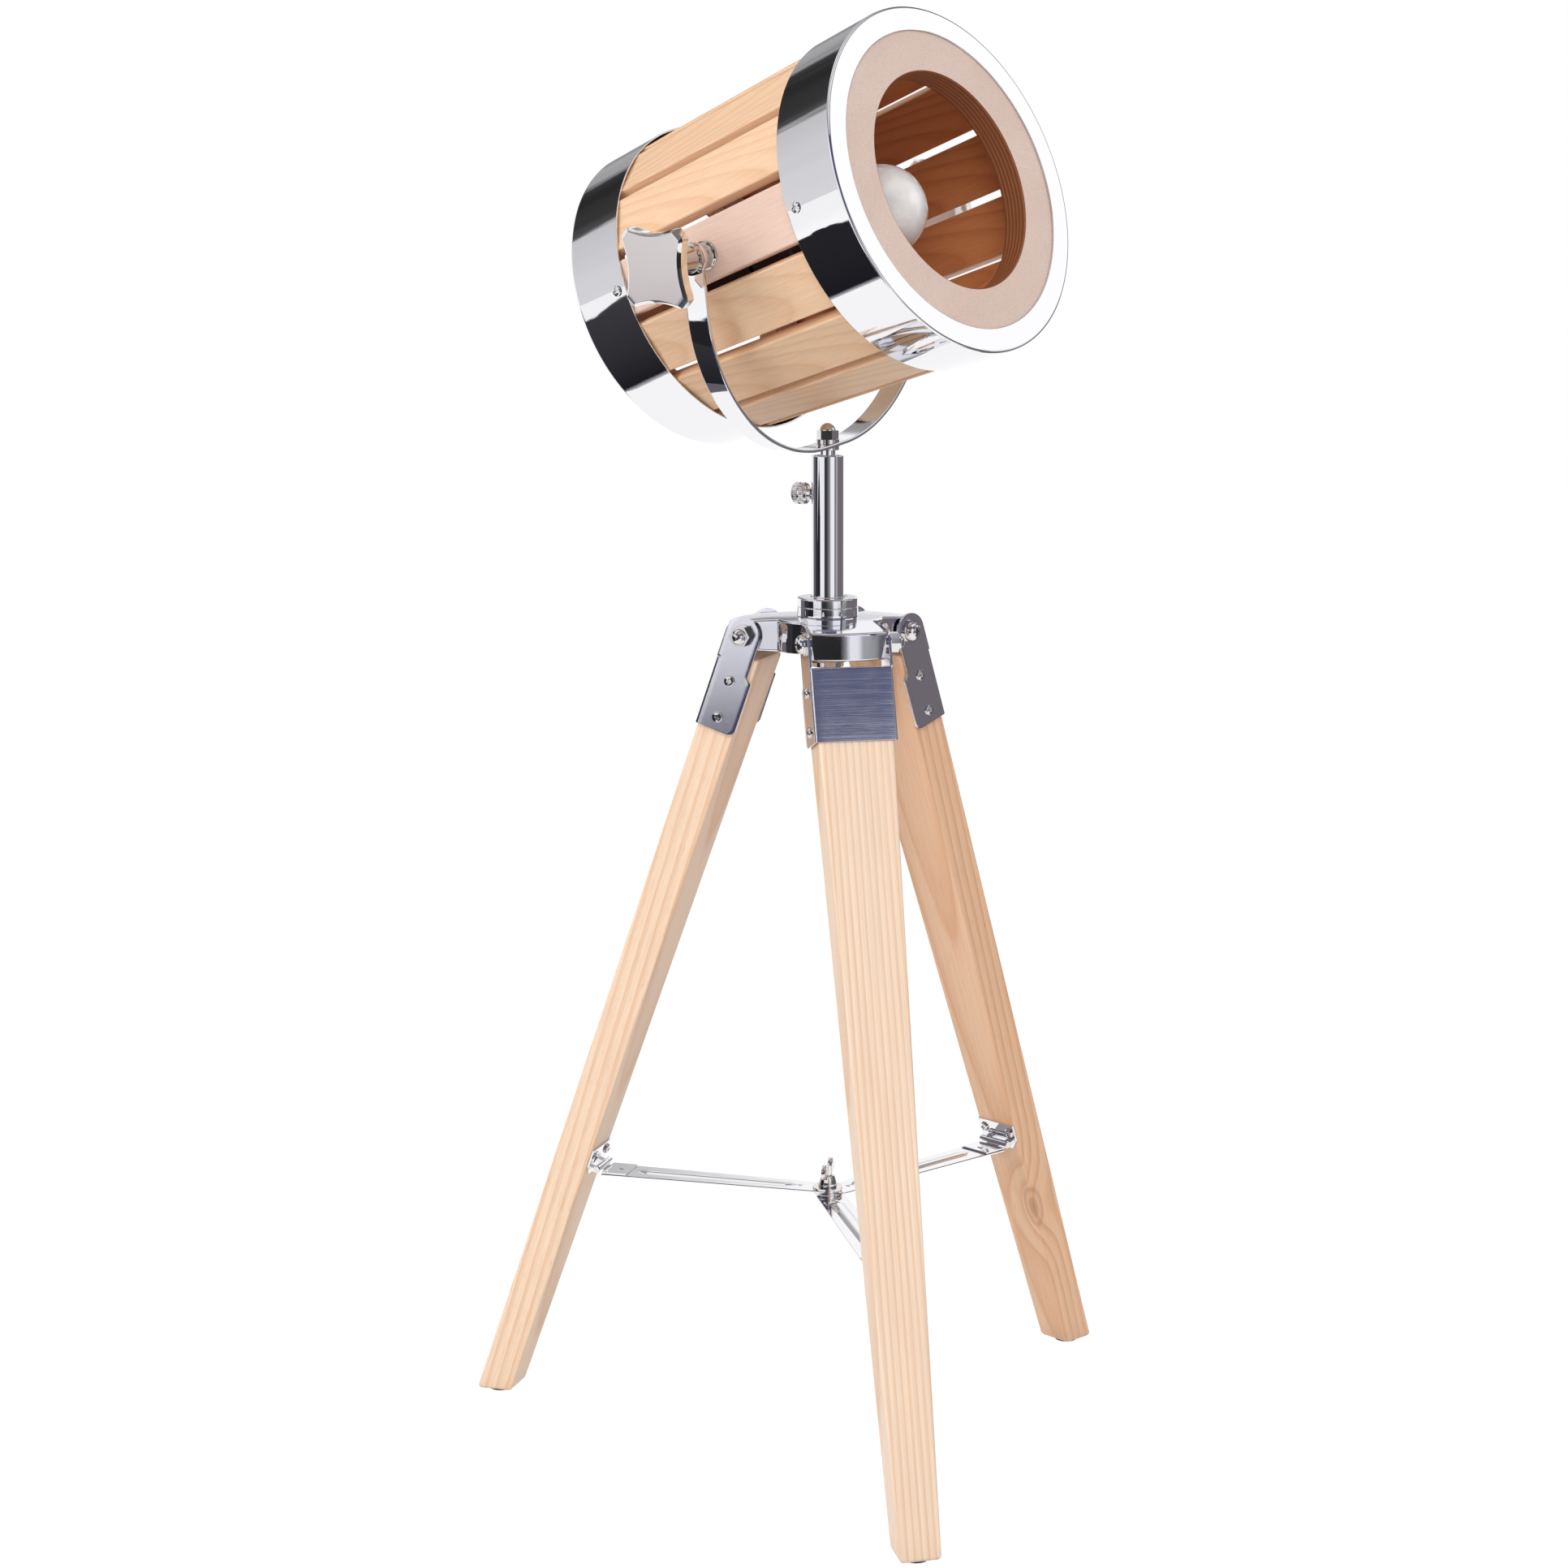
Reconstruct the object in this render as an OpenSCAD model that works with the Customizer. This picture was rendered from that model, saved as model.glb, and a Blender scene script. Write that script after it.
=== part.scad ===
// Tripod spotlight floor lamp: a slatted wooden barrel head in a steel yoke,
// on a short telescoping stem and three folding wooden legs.
// Millimetres. Origin on the floor under the stem, +Z up, the head faces -Y.

/* [Legs] */
// Height of the leg pivots above the floor
pivot_z = 570; // [540:1:600]
// Distance of a leg pivot from the stem axis
pivot_r = 52.4; // [50:0.1:55]
// Angle of the legs from vertical
splay = 19.3; // [16:0.1:22]
// Direction of the front leg, seen from above
front_leg_dir = -129.4; // [-180:0.1:180]
// Width of a leg at its top
leg_top_w = 54; // [50:0.5:58]
// Width of a leg at its foot
leg_foot_w = 27.8; // [24:0.1:32]
// Thickness of a leg at its top
leg_top_t = 27.3; // [25:0.1:29]
// Thickness of a leg at its foot
leg_foot_t = 25; // [22:0.1:27]
// Distance of the wood's outer face from the pivot line, at the top
leg_top_out = 11.1; // [10.5:0.1:12]
// Distance of the wood's outer face from the pivot line, at the foot
leg_foot_out = 13.3; // [12:0.1:15]
// Distance down the leg from the pivot to the wood's outer top corner
leg_top_l = 19.7; // [19.4:0.1:26]
// Distance down the leg from the pivot to the wood's inner top corner
leg_top_in_l = 13; // [12.5:0.1:20]
// Diameter of a foot pad
pad_d = 17; // [12:0.5:20]
// Height of a foot pad
pad_h = 3; // [2:0.1:6]

/* [Leg brackets] */
// Sheet thickness of a bracket
bracket_t = 1.5; // [1:0.1:2]
// Distance down the leg to the top of the bracket's web
web_top_l = 19.2; // [18.5:0.1:22]
// Distance down the leg to the bottom of the bracket
web_foot_l = 69.2; // [60:0.1:80]
// Distance down the leg to the step in the cheeks
cheek_step_l = 27; // [24:0.5:32]
// Radius of the ears round the pivot
ear_r = 12.6; // [11:0.1:13]
// Rounding of the cheeks' lower inner corner
cheek_corner_r = 5; // [2:0.5:8]
// Distance from the pivot to the upper bracket screw
screw_row_1 = 33; // [30:0.5:38]
// Distance from the pivot to the lower bracket screw
screw_row_2 = 60; // [50:0.5:63]

/* [Hub] */
// How much narrower a hub arm is than a leg's top
arm_less = 3; // [2:0.5:6]
// Distance from the stem axis to the end of a hub arm
arm_end_r = 68; // [66:0.1:69]
// Height of the hub's underside below the pivots
arm_below = 10.4; // [9:0.1:12]
// Height of an arm's end above the pivots
arm_above = 8.4; // [8:0.1:11]
// Rise of the dome from the arm ends to the collar
dome_rise = 4.8; // [3:0.1:9]
// Radius of the hub's middle
hub_r = 38; // [34:0.5:42]
// Wall thickness of the casting
hub_wall = 5; // [4:0.5:7]
// Radius of the collar
collar_r = 21.2; // [19:0.1:23]
// Height of the collar
collar_h = 13; // [10:0.5:18]
// Height of the seam round the collar
collar_seam = 6.4; // [4:0.1:9]

/* [Stem] */
// Outer diameter of the stem tube
tube_d = 22.2; // [21:0.1:24]
// Wall of the stem tube
tube_wall = 1.3; // [1:0.1:2]
// Height of the stem tube's top above the floor
tube_top_z = 692.6; // [670:0.1:710]
// Length of the sliding mast inside the tube
mast_len = 132; // [120:1:138]
// Diameter of the neck between the mast and the yoke
neck_d = 10.8; // [10:0.1:14]
// Height of the thumb screw below the tube's top
thumb_drop = 26.6; // [15:0.1:40]
// Direction of the thumb screw, seen from above
thumb_dir = 102; // [0:1:360]
// Diameter of the thumb screw's head
thumb_d = 15; // [12:0.5:18]
// Length of the thumb screw's head
thumb_head = 8.5; // [6:0.5:12]

/* [Yoke] */
// Gap between the tube's top and the underside of the yoke
yoke_rise = 6.3; // [6:0.1:12]
// Sideways lean at which the yoke is clamped
lean = 8.7; // [0:0.1:10]
// Gap between a pivot slat and the yoke's arm
yoke_side_gap = 12.29; // [11.5:0.01:16]
// Gap between the barrel and the yoke's underside, with the head level
yoke_under = 29.83; // [28:0.01:40]
// How far the yoke's corners start inside its arms
yoke_corner_in = 9.5; // [6:0.1:14]
// Width of the yoke's strap
strap_w = 17; // [15:0.5:20]
// Thickness of the yoke's strap
yoke_t = 2.5; // [2:0.1:3.5]
// Radius of the yoke's ears
yoke_ear_r = 11; // [10:0.5:13]

/* [Head] */
// Upward tilt of the head
tilt = 19; // [0:0.5:25]
// Drop of the barrel's axis below the tilt axis
axis_drop = 8.5; // [6:0.1:10]
// Number of slats round the barrel
slat_count = 15; // [15:2:15]
// Angle of the two pivot slats above the level
pivot_slat_rise = 6; // [4:0.5:8]
// Angle covered by one slat
slat_span = 20; // [18:0.5:22]
// Thickness of a slat
slat_t = 9; // [8:0.5:11]
// Radius over the slats' edges at the front
slat_front_r = 115; // [113:0.1:116]
// Radius over the slats' edges at the back
slat_back_r = 103.5; // [101:0.1:105]
// Distance from the tilt axis to the front of the barrel
front_s = 127.2; // [120:0.1:135]
// Distance from the tilt axis to the back of the barrel
back_s = 123.6; // [118:0.1:130]
// Width of the chrome bands
band_w = 47.3; // [40:0.1:52]
// Sheet thickness of the chrome bands
band_t = 1.2; // [0.8:0.1:1.6]
// Width of the front band's lip
front_lip_w = 15; // [14:0.1:17]
// Width of the back band's lip
back_lip_w = 14.5; // [13.5:0.1:16.5]
// Thickness of the plywood rings
ring_t = 18; // [15:0.5:20]
// Width of the front plywood ring
front_ring_w = 30.58; // [27:0.01:35]
// Width of the back plywood ring
back_ring_w = 20.99; // [18:0.01:25]
// Distance of the band screws from a band's inner edge
band_screw_in = 8; // [6:0.5:12]

/* [Lamp] */
// Radius of the bulb's globe
bulb_r = 30; // [28:0.5:31]
// Distance of the globe's centre in front of the tilt axis
bulb_s = 64.6; // [60:0.1:66]
// Length of the bulb
bulb_len = 110; // [106:0.5:112]
// Radius of the lampholder
holder_r = 20; // [18:0.5:22]
// Length of the lampholder
holder_len = 56; // [50:0.5:60]
// Radius of the cup that carries the lampholder
holder_cup_r = 18.5; // [16:0.5:20]
// Width of the bar that carries the lamp
bar_w = 40; // [34:0.5:50]
// Thickness of the bar that carries the lamp
bar_t = 12; // [10:0.5:14]

/* [Knobs] */
// Size of a knob across its corners' flats
knob_w = 50; // [40:0.5:56]
// Thickness of a knob's plate
knob_t = 8.6; // [7:0.1:12]
// Length of a knob's hub
knob_hub = 30; // [20:0.5:34]
// Radius of a knob's hub
knob_hub_r = 9; // [8:0.1:10]
// Turn of the knobs' plates
knob_turn = 20; // [0:1:45]

/* [Spreader] */
// Height of the side straps' underside above the floor
spreader_z = 169.4; // [150:0.1:200]
// Width of a spreader strap at the centre
brace_w = 20; // [16:0.5:22]
// Width of a spreader strap at its hinge
brace_hinge_w = 27; // [22:0.5:28]
// Thickness of a spreader strap
brace_t = 1.5; // [1:0.1:1.6]
// Width of the pressed rib on a strap
rib_w = 8; // [5:0.5:9]
// Height of the pressed rib
rib_h = 0.8; // [0.5:0.1:1]
// Radius of the left strap's round end
brace_disc_r = 10; // [9:0.1:11]
// Radius of the washers at the spreader's centre
centre_washer_r = 10.5; // [9:0.1:12]
// Distance of the hinge pins from the legs' inner faces
pin_stand = 6.2; // [6:0.1:8]
// Height of a hinge plate
plate_h = 20; // [18:0.5:24]

/* [Hidden] */
run_gap = 0.08;                 // radial clearance of everything that turns or slides
face_gap = 0.1;                 // clearance between seated faces
layer_gap = 0.3;                // clearance between stacked spreader straps
m8_r = 4;                       // shank radius of the big bolts
m6_r = 3;                       // shank radius of the spreader bolt
m5_r = 2.5;                     // shank radius of the thumb screw
far = 400;                      // larger than anything that a cut has to pass

leg_names = ["front", "left", "right"];
function leg_dir(k) = front_leg_dir + [0, -120, 120][k];

// legs: distance l down the leg and n outward from the pivot line
foot_out_l = (pivot_z - pad_h + leg_foot_out*sin(splay))/cos(splay);
leg_foot_in = leg_foot_out - leg_foot_t;
foot_in_l = (pivot_z - pad_h + leg_foot_in*sin(splay))/cos(splay);
leg_top_in = leg_top_out - leg_top_t;
inner_slope = (leg_foot_in - leg_top_in)/(foot_in_l - leg_top_l);
function inner_n(l) = leg_top_in + inner_slope*(l - leg_top_l);
function leg_half_w(l) = leg_top_w/2 - (leg_top_w - leg_foot_w)/2*(l - leg_top_l)/(foot_out_l - leg_top_l);
pad_l = (foot_out_l + foot_in_l)/2;
pad_r = pivot_r + (leg_foot_out + leg_foot_in)/2*cos(splay) + pad_l*sin(splay);

bracket_half_w = leg_top_w/2 + bracket_t + face_gap;
web_out = leg_top_out + (leg_foot_out - leg_top_out)*web_foot_l/foot_out_l + bracket_t + face_gap;
cheek_in = leg_top_in - 0.4;
washer_t = 1.5;
washer_r = 8;
leg_screw_r = 2;
leg_screw_head_r = 3.7;
leg_screw_head_h = 1.8;
leg_screw_len = 16;

// hub and stem
arm_w = leg_top_w - arm_less;
hub_foot_z = pivot_z - arm_below;
arm_top_z = pivot_z + arm_above;
hub_top_z = arm_top_z + dome_rise;
collar_foot_z = hub_top_z - dome_rise*pow((collar_r - 2)/arm_end_r, 2);
tube_r = tube_d/2;
tube_foot_z = hub_foot_z - 12;
bore_r = tube_r - tube_wall;
mast_r = bore_r - run_gap;
mast_top_z = tube_top_z - 1;
thumb_z = tube_top_z - thumb_drop;

// yoke and head
yoke_z = tube_top_z + yoke_rise;
yoke_washer_r = 8;
seat_z = yoke_z - yoke_washer_r*tan(lean) - 1.2;
nut_z = yoke_z + yoke_t/cos(lean) + yoke_washer_r*tan(lean) + 1;
acorn_af = 13;
acorn_hex_h = 6;
acorn_dome_r = 5.5;
acorn_h = 11;
stud_len = acorn_h - 3;

slat_pitch = 360/slat_count;
barrel_len = front_s + back_s;
cone = atan((slat_front_r - slat_back_r)/barrel_len);
function slat_r(s) = slat_back_r + (slat_front_r - slat_back_r)*(s + back_s)/barrel_len;
function inner_r(s) = slat_r(s)*cos(slat_span/2) - slat_t/cos(cone);
function slat_angle(k) = pivot_slat_rise + slat_pitch*k;
slat_face = slat_r(0)*cos(slat_span/2);
near_slat = (slat_count - 1)/2;
pivot_slats = [0, near_slat];
ring_front_s = front_s - band_t;
ring_back_s = -back_s + band_t;
front_opening_r = inner_r(ring_front_s - ring_t) - front_ring_w;
back_opening_r = inner_r(ring_back_s + ring_t) - back_ring_w;
front_lip_r = slat_front_r - front_lip_w;
back_lip_r = slat_back_r - back_lip_w;
bush_r = 6;
spacer_r = 9.3;
arm_in = slat_face + yoke_side_gap;
yoke_half_w = arm_in + yoke_t;
yoke_h = slat_r(0) + axis_drop + yoke_under;
yoke_corner_r = yoke_half_w - yoke_corner_in;
bush_zone = 60;                 // half length of the slat that a bush and a spacer are cut to
bore_cut = 40;                  // how far a short bore's cutter reaches
bar_screw_out = 8;              // from the back ring's opening to the lamp bar's screws
ring_screw_bore = 52;           // length of the bores for the lamp bar's screws

bar_s = ring_back_s + ring_t;
bulb_top_s = bulb_s + bulb_r;
bulb_foot_s = bulb_top_s - bulb_len;
cap_r = 13.2;
cap_len = 25;
holder_front_s = bulb_foot_s + cap_len + 1.5;
holder_foot_s = holder_front_s - holder_len;
gland_r = 7;

// spreader
knuckle_r = 2.7;
pin_r = 1.5;
leaf_t = 1;
leaf_len = 22;
plate_t = 1.2;
knuckle_w = 13;
lug_w = 6;
top_strap = 1;
centre_washer_t = 1.3;
brace_cut_r = 8.6;
function brace_z(k) = spreader_z + (k == top_strap ? brace_t + centre_washer_t + layer_gap : 0);
function pin_z(k) = brace_z(k) + brace_t + knuckle_r;
function pin_l(k) = (pivot_z + (leg_top_in - inner_slope*leg_top_l - pin_stand)*sin(splay) - pin_z(k))
    /(cos(splay) - inner_slope*sin(splay));
function pin_rad(k) = pivot_r + (inner_n(pin_l(k)) - pin_stand)*cos(splay) + pin_l(k)*sin(splay);
disc_z = brace_z(top_strap);
wing_z = disc_z + brace_t + centre_washer_t + face_gap;

chrome = [0.78, 0.78, 0.80];
brushed = [0.55, 0.56, 0.60];
nickel = [0.70, 0.67, 0.63];
pine = [0.93, 0.78, 0.58];
beige_ply = [0.88, 0.75, 0.66];
black = [0.08, 0.08, 0.08];

$fn = 64;

// places

module at_leg(k) {
    rotate([0, 0, leg_dir(k)]) translate([pivot_r, 0, pivot_z]) rotate([0, -splay, 0]) children();
}

module at_hinge(k) {
    at_leg(k) translate([inner_n(pin_l(k)), 0, -pin_l(k)]) rotate([0, -atan(inner_slope), 0]) children();
}

module at_yoke() {
    translate([0, 0, yoke_z]) rotate([0, -lean, 0]) children();
}

module at_pivot() {
    at_yoke() translate([0, 0, yoke_h]) rotate([90 - tilt, 0, 0]) children();
}

module at_barrel() {
    at_pivot() translate([0, -axis_drop, 0]) children();
}

module along_x() {
    rotate([0, 90, 0]) children();
}

// shapes that repeat

module acorn_nut(bore_r) {
    difference() {
        union() {
            cylinder(r = acorn_af/2/cos(30), h = acorn_hex_h, $fn = 6);
            cylinder(r = acorn_dome_r, h = acorn_h - acorn_dome_r);
            translate([0, 0, acorn_h - acorn_dome_r]) sphere(r = acorn_dome_r);
        }
        translate([0, 0, -1]) cylinder(r = bore_r + run_gap, h = stud_len + 1.5);
    }
}

module cross_slot(size, depth) {
    for (a = [0, 90])
        rotate([0, 0, a]) translate([-size/2, -size/8, -depth]) cube([size, size/4, depth + 1]);
}

// head up, the underside of the head at z = 0
module pan_screw(shank_r, head_r, head_h, len) {
    difference() {
        union() {
            rotate_extrude() polygon([
                [0, 0], [head_r, 0], [head_r, head_h*0.35], [head_r*0.85, head_h*0.8],
                [head_r*0.5, head_h], [0, head_h]
            ]);
            translate([0, 0, -len]) cylinder(r = shank_r, h = len + 0.1);
        }
        translate([0, 0, head_h]) cross_slot(head_r*1.1, head_h*0.5);
    }
}

module ring(outer_r, inner_r, h) {
    difference() {
        cylinder(r = outer_r, h = h);
        translate([0, 0, -1]) cylinder(r = inner_r, h = h + 2);
    }
}

// hub and stem

module hub_plan(wall) {
    circle(r = hub_r - wall);
    for (k = [0:2])
        rotate(leg_dir(k)) translate([0, wall - arm_w/2]) square([far, arm_w - 2*wall]);
}

module hub() {
    dome_steps = 10;
    edge = 1.2;
    color(chrome) difference() {
        intersection() {
            translate([0, 0, hub_foot_z]) linear_extrude(far/4) hub_plan(0);
            rotate_extrude($fn = 96) polygon(concat(
                [[0, hub_foot_z], [arm_end_r - edge, hub_foot_z], [arm_end_r, hub_foot_z + edge]],
                [for (i = [0:dome_steps]) let (x = arm_end_r*(1 - i/dome_steps))
                    [x, hub_top_z - dome_rise*pow(x/arm_end_r, 2)]]
            ));
        }
        // hollow underside between the middle boss and the rim
        translate([0, 0, hub_foot_z - 1]) linear_extrude(arm_top_z - hub_wall - hub_foot_z + 1)
            difference() {
                intersection() {
                    hub_plan(hub_wall);
                    circle(r = pivot_r - m8_r - hub_wall);
                }
                circle(r = collar_r);
            }
        translate([0, 0, hub_foot_z - 1]) cylinder(r = tube_r + run_gap, h = far/4);
        for (k = [0:2])
            rotate([0, 0, leg_dir(k)]) translate([pivot_r, 0, pivot_z]) rotate([90, 0, 0])
                cylinder(r = m8_r + run_gap, h = arm_w + 2, center = true);
    }
}

module hub_locknut() {
    nut_h = 8;
    color(nickel) translate([0, 0, hub_foot_z - nut_h - face_gap]) difference() {
        cylinder(r = tube_r + 6, h = nut_h, $fn = 6);
        translate([0, 0, -1]) cylinder(r = tube_r + run_gap, h = nut_h + 2);
    }
}

module collar() {
    groove = 0.8;
    seat = hub_top_z - collar_foot_z + face_gap;
    color(chrome) translate([0, 0, collar_foot_z]) difference() {
        rotate_extrude() polygon([
            [0, seat], [collar_r - 3, seat], [collar_r - 2, 0.1], [collar_r, 0.1],
            [collar_r, collar_seam - groove], [collar_r - groove, collar_seam],
            [collar_r, collar_seam + groove],
            [collar_r, collar_h - 1.6], [collar_r - 0.5, collar_h - 0.5], [collar_r - 1.6, collar_h],
            [tube_r + 2, collar_h], [tube_r + 1.4, collar_h - 1.2], [0, collar_h - 1.2]
        ]);
        translate([0, 0, -1]) cylinder(r = tube_r + run_gap, h = far/4);
    }
}

module stem_tube() {
    color(chrome) difference() {
        translate([0, 0, tube_foot_z]) cylinder(r = tube_r, h = tube_top_z - tube_foot_z);
        translate([0, 0, tube_foot_z - 1]) cylinder(r = bore_r, h = tube_top_z - tube_foot_z + 2);
        translate([0, 0, thumb_z]) rotate([0, 0, thumb_dir]) along_x()
            cylinder(r = m5_r + run_gap, h = tube_d);
    }
}

// bolt heads on the clockwise side of each leg, acorn nuts on the other
module leg_bolts() {
    head_r = 6.6;
    head_h = 4.6;
    reach = bracket_half_w + face_gap + washer_t;
    color(nickel) for (k = [0:2])
        rotate([0, 0, leg_dir(k)]) translate([pivot_r, 0, pivot_z]) rotate([90, 0, 0]) difference() {
            union() {
                translate([0, 0, -reach - stud_len]) cylinder(r = m8_r, h = 2*reach + stud_len + 0.5);
                translate([0, 0, reach]) rotate_extrude() polygon(concat(
                    [[0, 0], [head_r, 0]],
                    [for (a = [15:15:90]) [head_r*cos(a), head_h*sin(a)]]
                ));
            }
            translate([0, 0, reach + head_h]) cross_slot(5, 2);
        }
}

module leg_nuts() {
    color(nickel) for (k = [0:2])
        rotate([0, 0, leg_dir(k)]) translate([pivot_r, 0, pivot_z]) rotate([-90, 0, 0])
            translate([0, 0, bracket_half_w + face_gap + washer_t]) acorn_nut(m8_r);
}

// one washer under each head and nut, one between each ear and the hub arm
module leg_washers() {
    inner_t = bracket_half_w - bracket_t - arm_w/2 - 2*face_gap;
    color(nickel) for (k = [0:2], side = [-1, 1])
        rotate([0, 0, leg_dir(k)]) translate([pivot_r, 0, pivot_z]) rotate([90*side, 0, 0]) {
            translate([0, 0, bracket_half_w + face_gap]) ring(washer_r, m8_r + run_gap, washer_t);
            translate([0, 0, arm_w/2 + face_gap]) ring(washer_r, m8_r + run_gap, inner_t);
        }
}

// legs

module leg(k) {
    low = foot_out_l + 4;
    color(pine) at_leg(k) difference() {
        intersection() {
            rotate([90, 0, 0]) linear_extrude(leg_top_w + 2, center = true) polygon([
                [leg_top_out, -leg_top_l], [leg_foot_out, -foot_out_l],
                [leg_foot_in, -foot_in_l], [inner_n(leg_top_in_l), -leg_top_in_l]
            ]);
            rotate([90, 0, 90]) linear_extrude(far, center = true) polygon([
                [leg_top_w/2, 0], [leg_top_w/2, -leg_top_l], [leg_half_w(low), -low],
                [-leg_half_w(low), -low], [-leg_top_w/2, -leg_top_l], [-leg_top_w/2, 0]
            ]);
        }
        bracket_screw_places() translate([0, 0, -leg_screw_len - 0.5])
            cylinder(r = leg_screw_r + run_gap, h = far);
        hinge_screw_places(k) translate([0, 0, -leg_screw_len - 0.5])
            cylinder(r = leg_screw_r + run_gap, h = far);
    }
}

// on the cheeks' outer faces, in the leg's own place
module bracket_screw_places() {
    for (side = [-1, 1], l = [screw_row_1, screw_row_2])
        translate([(leg_top_out + leg_top_in)/2 + 1, 0, -l]) rotate([-90*side, 0, 0])
            translate([0, 0, bracket_half_w]) children();
}

module bracket(k) {
    color(brushed) at_leg(k) difference() {
        union() {
            translate([web_out - bracket_t, -bracket_half_w, -web_foot_l])
                cube([bracket_t, 2*bracket_half_w, web_foot_l - web_top_l]);
            for (side = [-1, 1])
                translate([0, side*(bracket_half_w - bracket_t/2), 0]) rotate([90, 0, 0])
                    linear_extrude(bracket_t, center = true) cheek_plan();
        }
        rotate([90, 0, 0]) cylinder(r = m8_r + run_gap, h = far, center = true);
        bracket_screw_places() cylinder(r = leg_screw_r + run_gap, h = far, center = true);
    }
}

module cheek_plan() {
    circle(r = ear_r);
    polygon([
        [-ear_r, 0], [-ear_r, -cheek_step_l], [cheek_in, -cheek_step_l - 3], [cheek_in, -cheek_step_l - 5],
        [web_out, -cheek_step_l - 5], [web_out, -web_top_l], [ear_r, -web_top_l], [ear_r, 0]
    ]);
    translate([cheek_in, -web_foot_l + cheek_corner_r])
        square([web_out - cheek_in, web_foot_l - cheek_step_l - cheek_corner_r - 4]);
    translate([cheek_in + cheek_corner_r, -web_foot_l]) square([web_out - cheek_in - cheek_corner_r, far/40]);
    translate([cheek_in + cheek_corner_r, -web_foot_l + cheek_corner_r]) circle(r = cheek_corner_r);
}

module leg_screws(k) {
    color(nickel) at_leg(k) bracket_screw_places() translate([0, 0, face_gap])
        pan_screw(leg_screw_r, leg_screw_head_r, leg_screw_head_h, leg_screw_len);
    color(nickel) at_leg(k) hinge_screw_places(k) translate([0, 0, plate_t + 2*face_gap])
        pan_screw(leg_screw_r, leg_screw_head_r, leg_screw_head_h, leg_screw_len);
}

module pad(k) {
    color(black) rotate([0, 0, leg_dir(k)]) translate([pad_r, 0, 0]) rotate_extrude() polygon([
        [0, 0], [pad_d/2 - 0.8, 0], [pad_d/2, 0.8], [pad_d/2, pad_h], [0, pad_h]
    ]);
}

// spreader hinges

// on the leg's inner face beside the upper half of a hinge plate, in the leg's own place
module hinge_screw_places(k) {
    spread = leg_half_w(pin_l(k)) - 5.6;
    translate([inner_n(pin_l(k)), 0, -pin_l(k)]) rotate([0, -atan(inner_slope), 0])
        for (side = [-1, 1])
            translate([0, side*spread, plate_h - 12.5]) rotate([0, -90, 0]) children();
}

module hinge_plate(k) {
    half_w = leg_half_w(pin_l(k)) - 0.6;
    inner_edge = knuckle_w/2 + face_gap;
    color(chrome) difference() {
        at_hinge(k) {
            translate([-plate_t - face_gap, 0, 0]) rotate([90, 0, 90]) linear_extrude(plate_t) polygon([
                [-half_w, plate_h - 6], [-half_w, 1], [-inner_edge - lug_w, -6],
                [inner_edge + lug_w, -6], [half_w, 1], [half_w, plate_h - 6]
            ]);
            for (side = [-1, 1])
                translate([-pin_stand, side*(inner_edge + lug_w/2), 0]) {
                    rotate([90, 0, 0]) cylinder(r = knuckle_r, h = lug_w, center = true);
                    translate([0, -lug_w/2, -knuckle_r]) cube([pin_stand - plate_t/2 - face_gap, lug_w, knuckle_r]);
                }
        }
        at_hinge(k) translate([-pin_stand, 0, 0]) rotate([90, 0, 0])
            cylinder(r = pin_r + run_gap, h = far/4, center = true);
        at_leg(k) hinge_screw_places(k) cylinder(r = leg_screw_r + run_gap, h = 8, center = true);
    }
}

module hinge_pin(k) {
    len = 2*(knuckle_w/2 + face_gap + lug_w) + 2*face_gap;
    color(nickel) at_hinge(k) translate([-pin_stand, 0, 0]) rotate([90, 0, 0]) {
        cylinder(r = pin_r, h = len, center = true);
        for (side = [-1, 1])
            translate([0, 0, side*(len/2 + 0.5)]) cylinder(r = 2.3, h = 1, center = true);
    }
}

// the strap's plan from x = 0 at the stem axis to its hinge
module brace_plan(k) {
    outer = pin_rad(k) - knuckle_r - 1;
    difference() {
        union() {
            polygon([
                [0, -brace_w/2], [outer, -brace_hinge_w/2], [outer, brace_hinge_w/2], [0, brace_w/2]
            ]);
            if (k == top_strap) circle(r = brace_disc_r);
        }
        if (k == top_strap) circle(r = m6_r + run_gap);
        else {
            circle(r = brace_cut_r);
            translate([-far, -brace_w]) square([far, 2*brace_w]);
            // the half planes of the neighbours, so the inner ends leave each other room
            for (side = [-1, 1])
                rotate(60*side) translate([-far, side > 0 ? -layer_gap*2 : -far + layer_gap*2])
                    square([2*far, far]);
        }
    }
}

module brace(k) {
    rib_from = 24;
    rib_to = pin_rad(k) - leaf_len - 6;
    color(chrome) rotate([0, 0, leg_dir(k)]) translate([0, 0, brace_z(k)]) {
        linear_extrude(brace_t) brace_plan(k);
        translate([0, 0, brace_t - 0.2]) linear_extrude(rib_h + 0.2) polygon([
            [rib_from, 0], [rib_from + 7, rib_w/2], [rib_to - 7, rib_w/2],
            [rib_to, 0], [rib_to - 7, -rib_w/2], [rib_from + 7, -rib_w/2]
        ]);
        translate([rib_from - 3.5, 0, brace_t - 0.2]) cylinder(r = 1.4, h = rib_h);
    }
}

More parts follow.
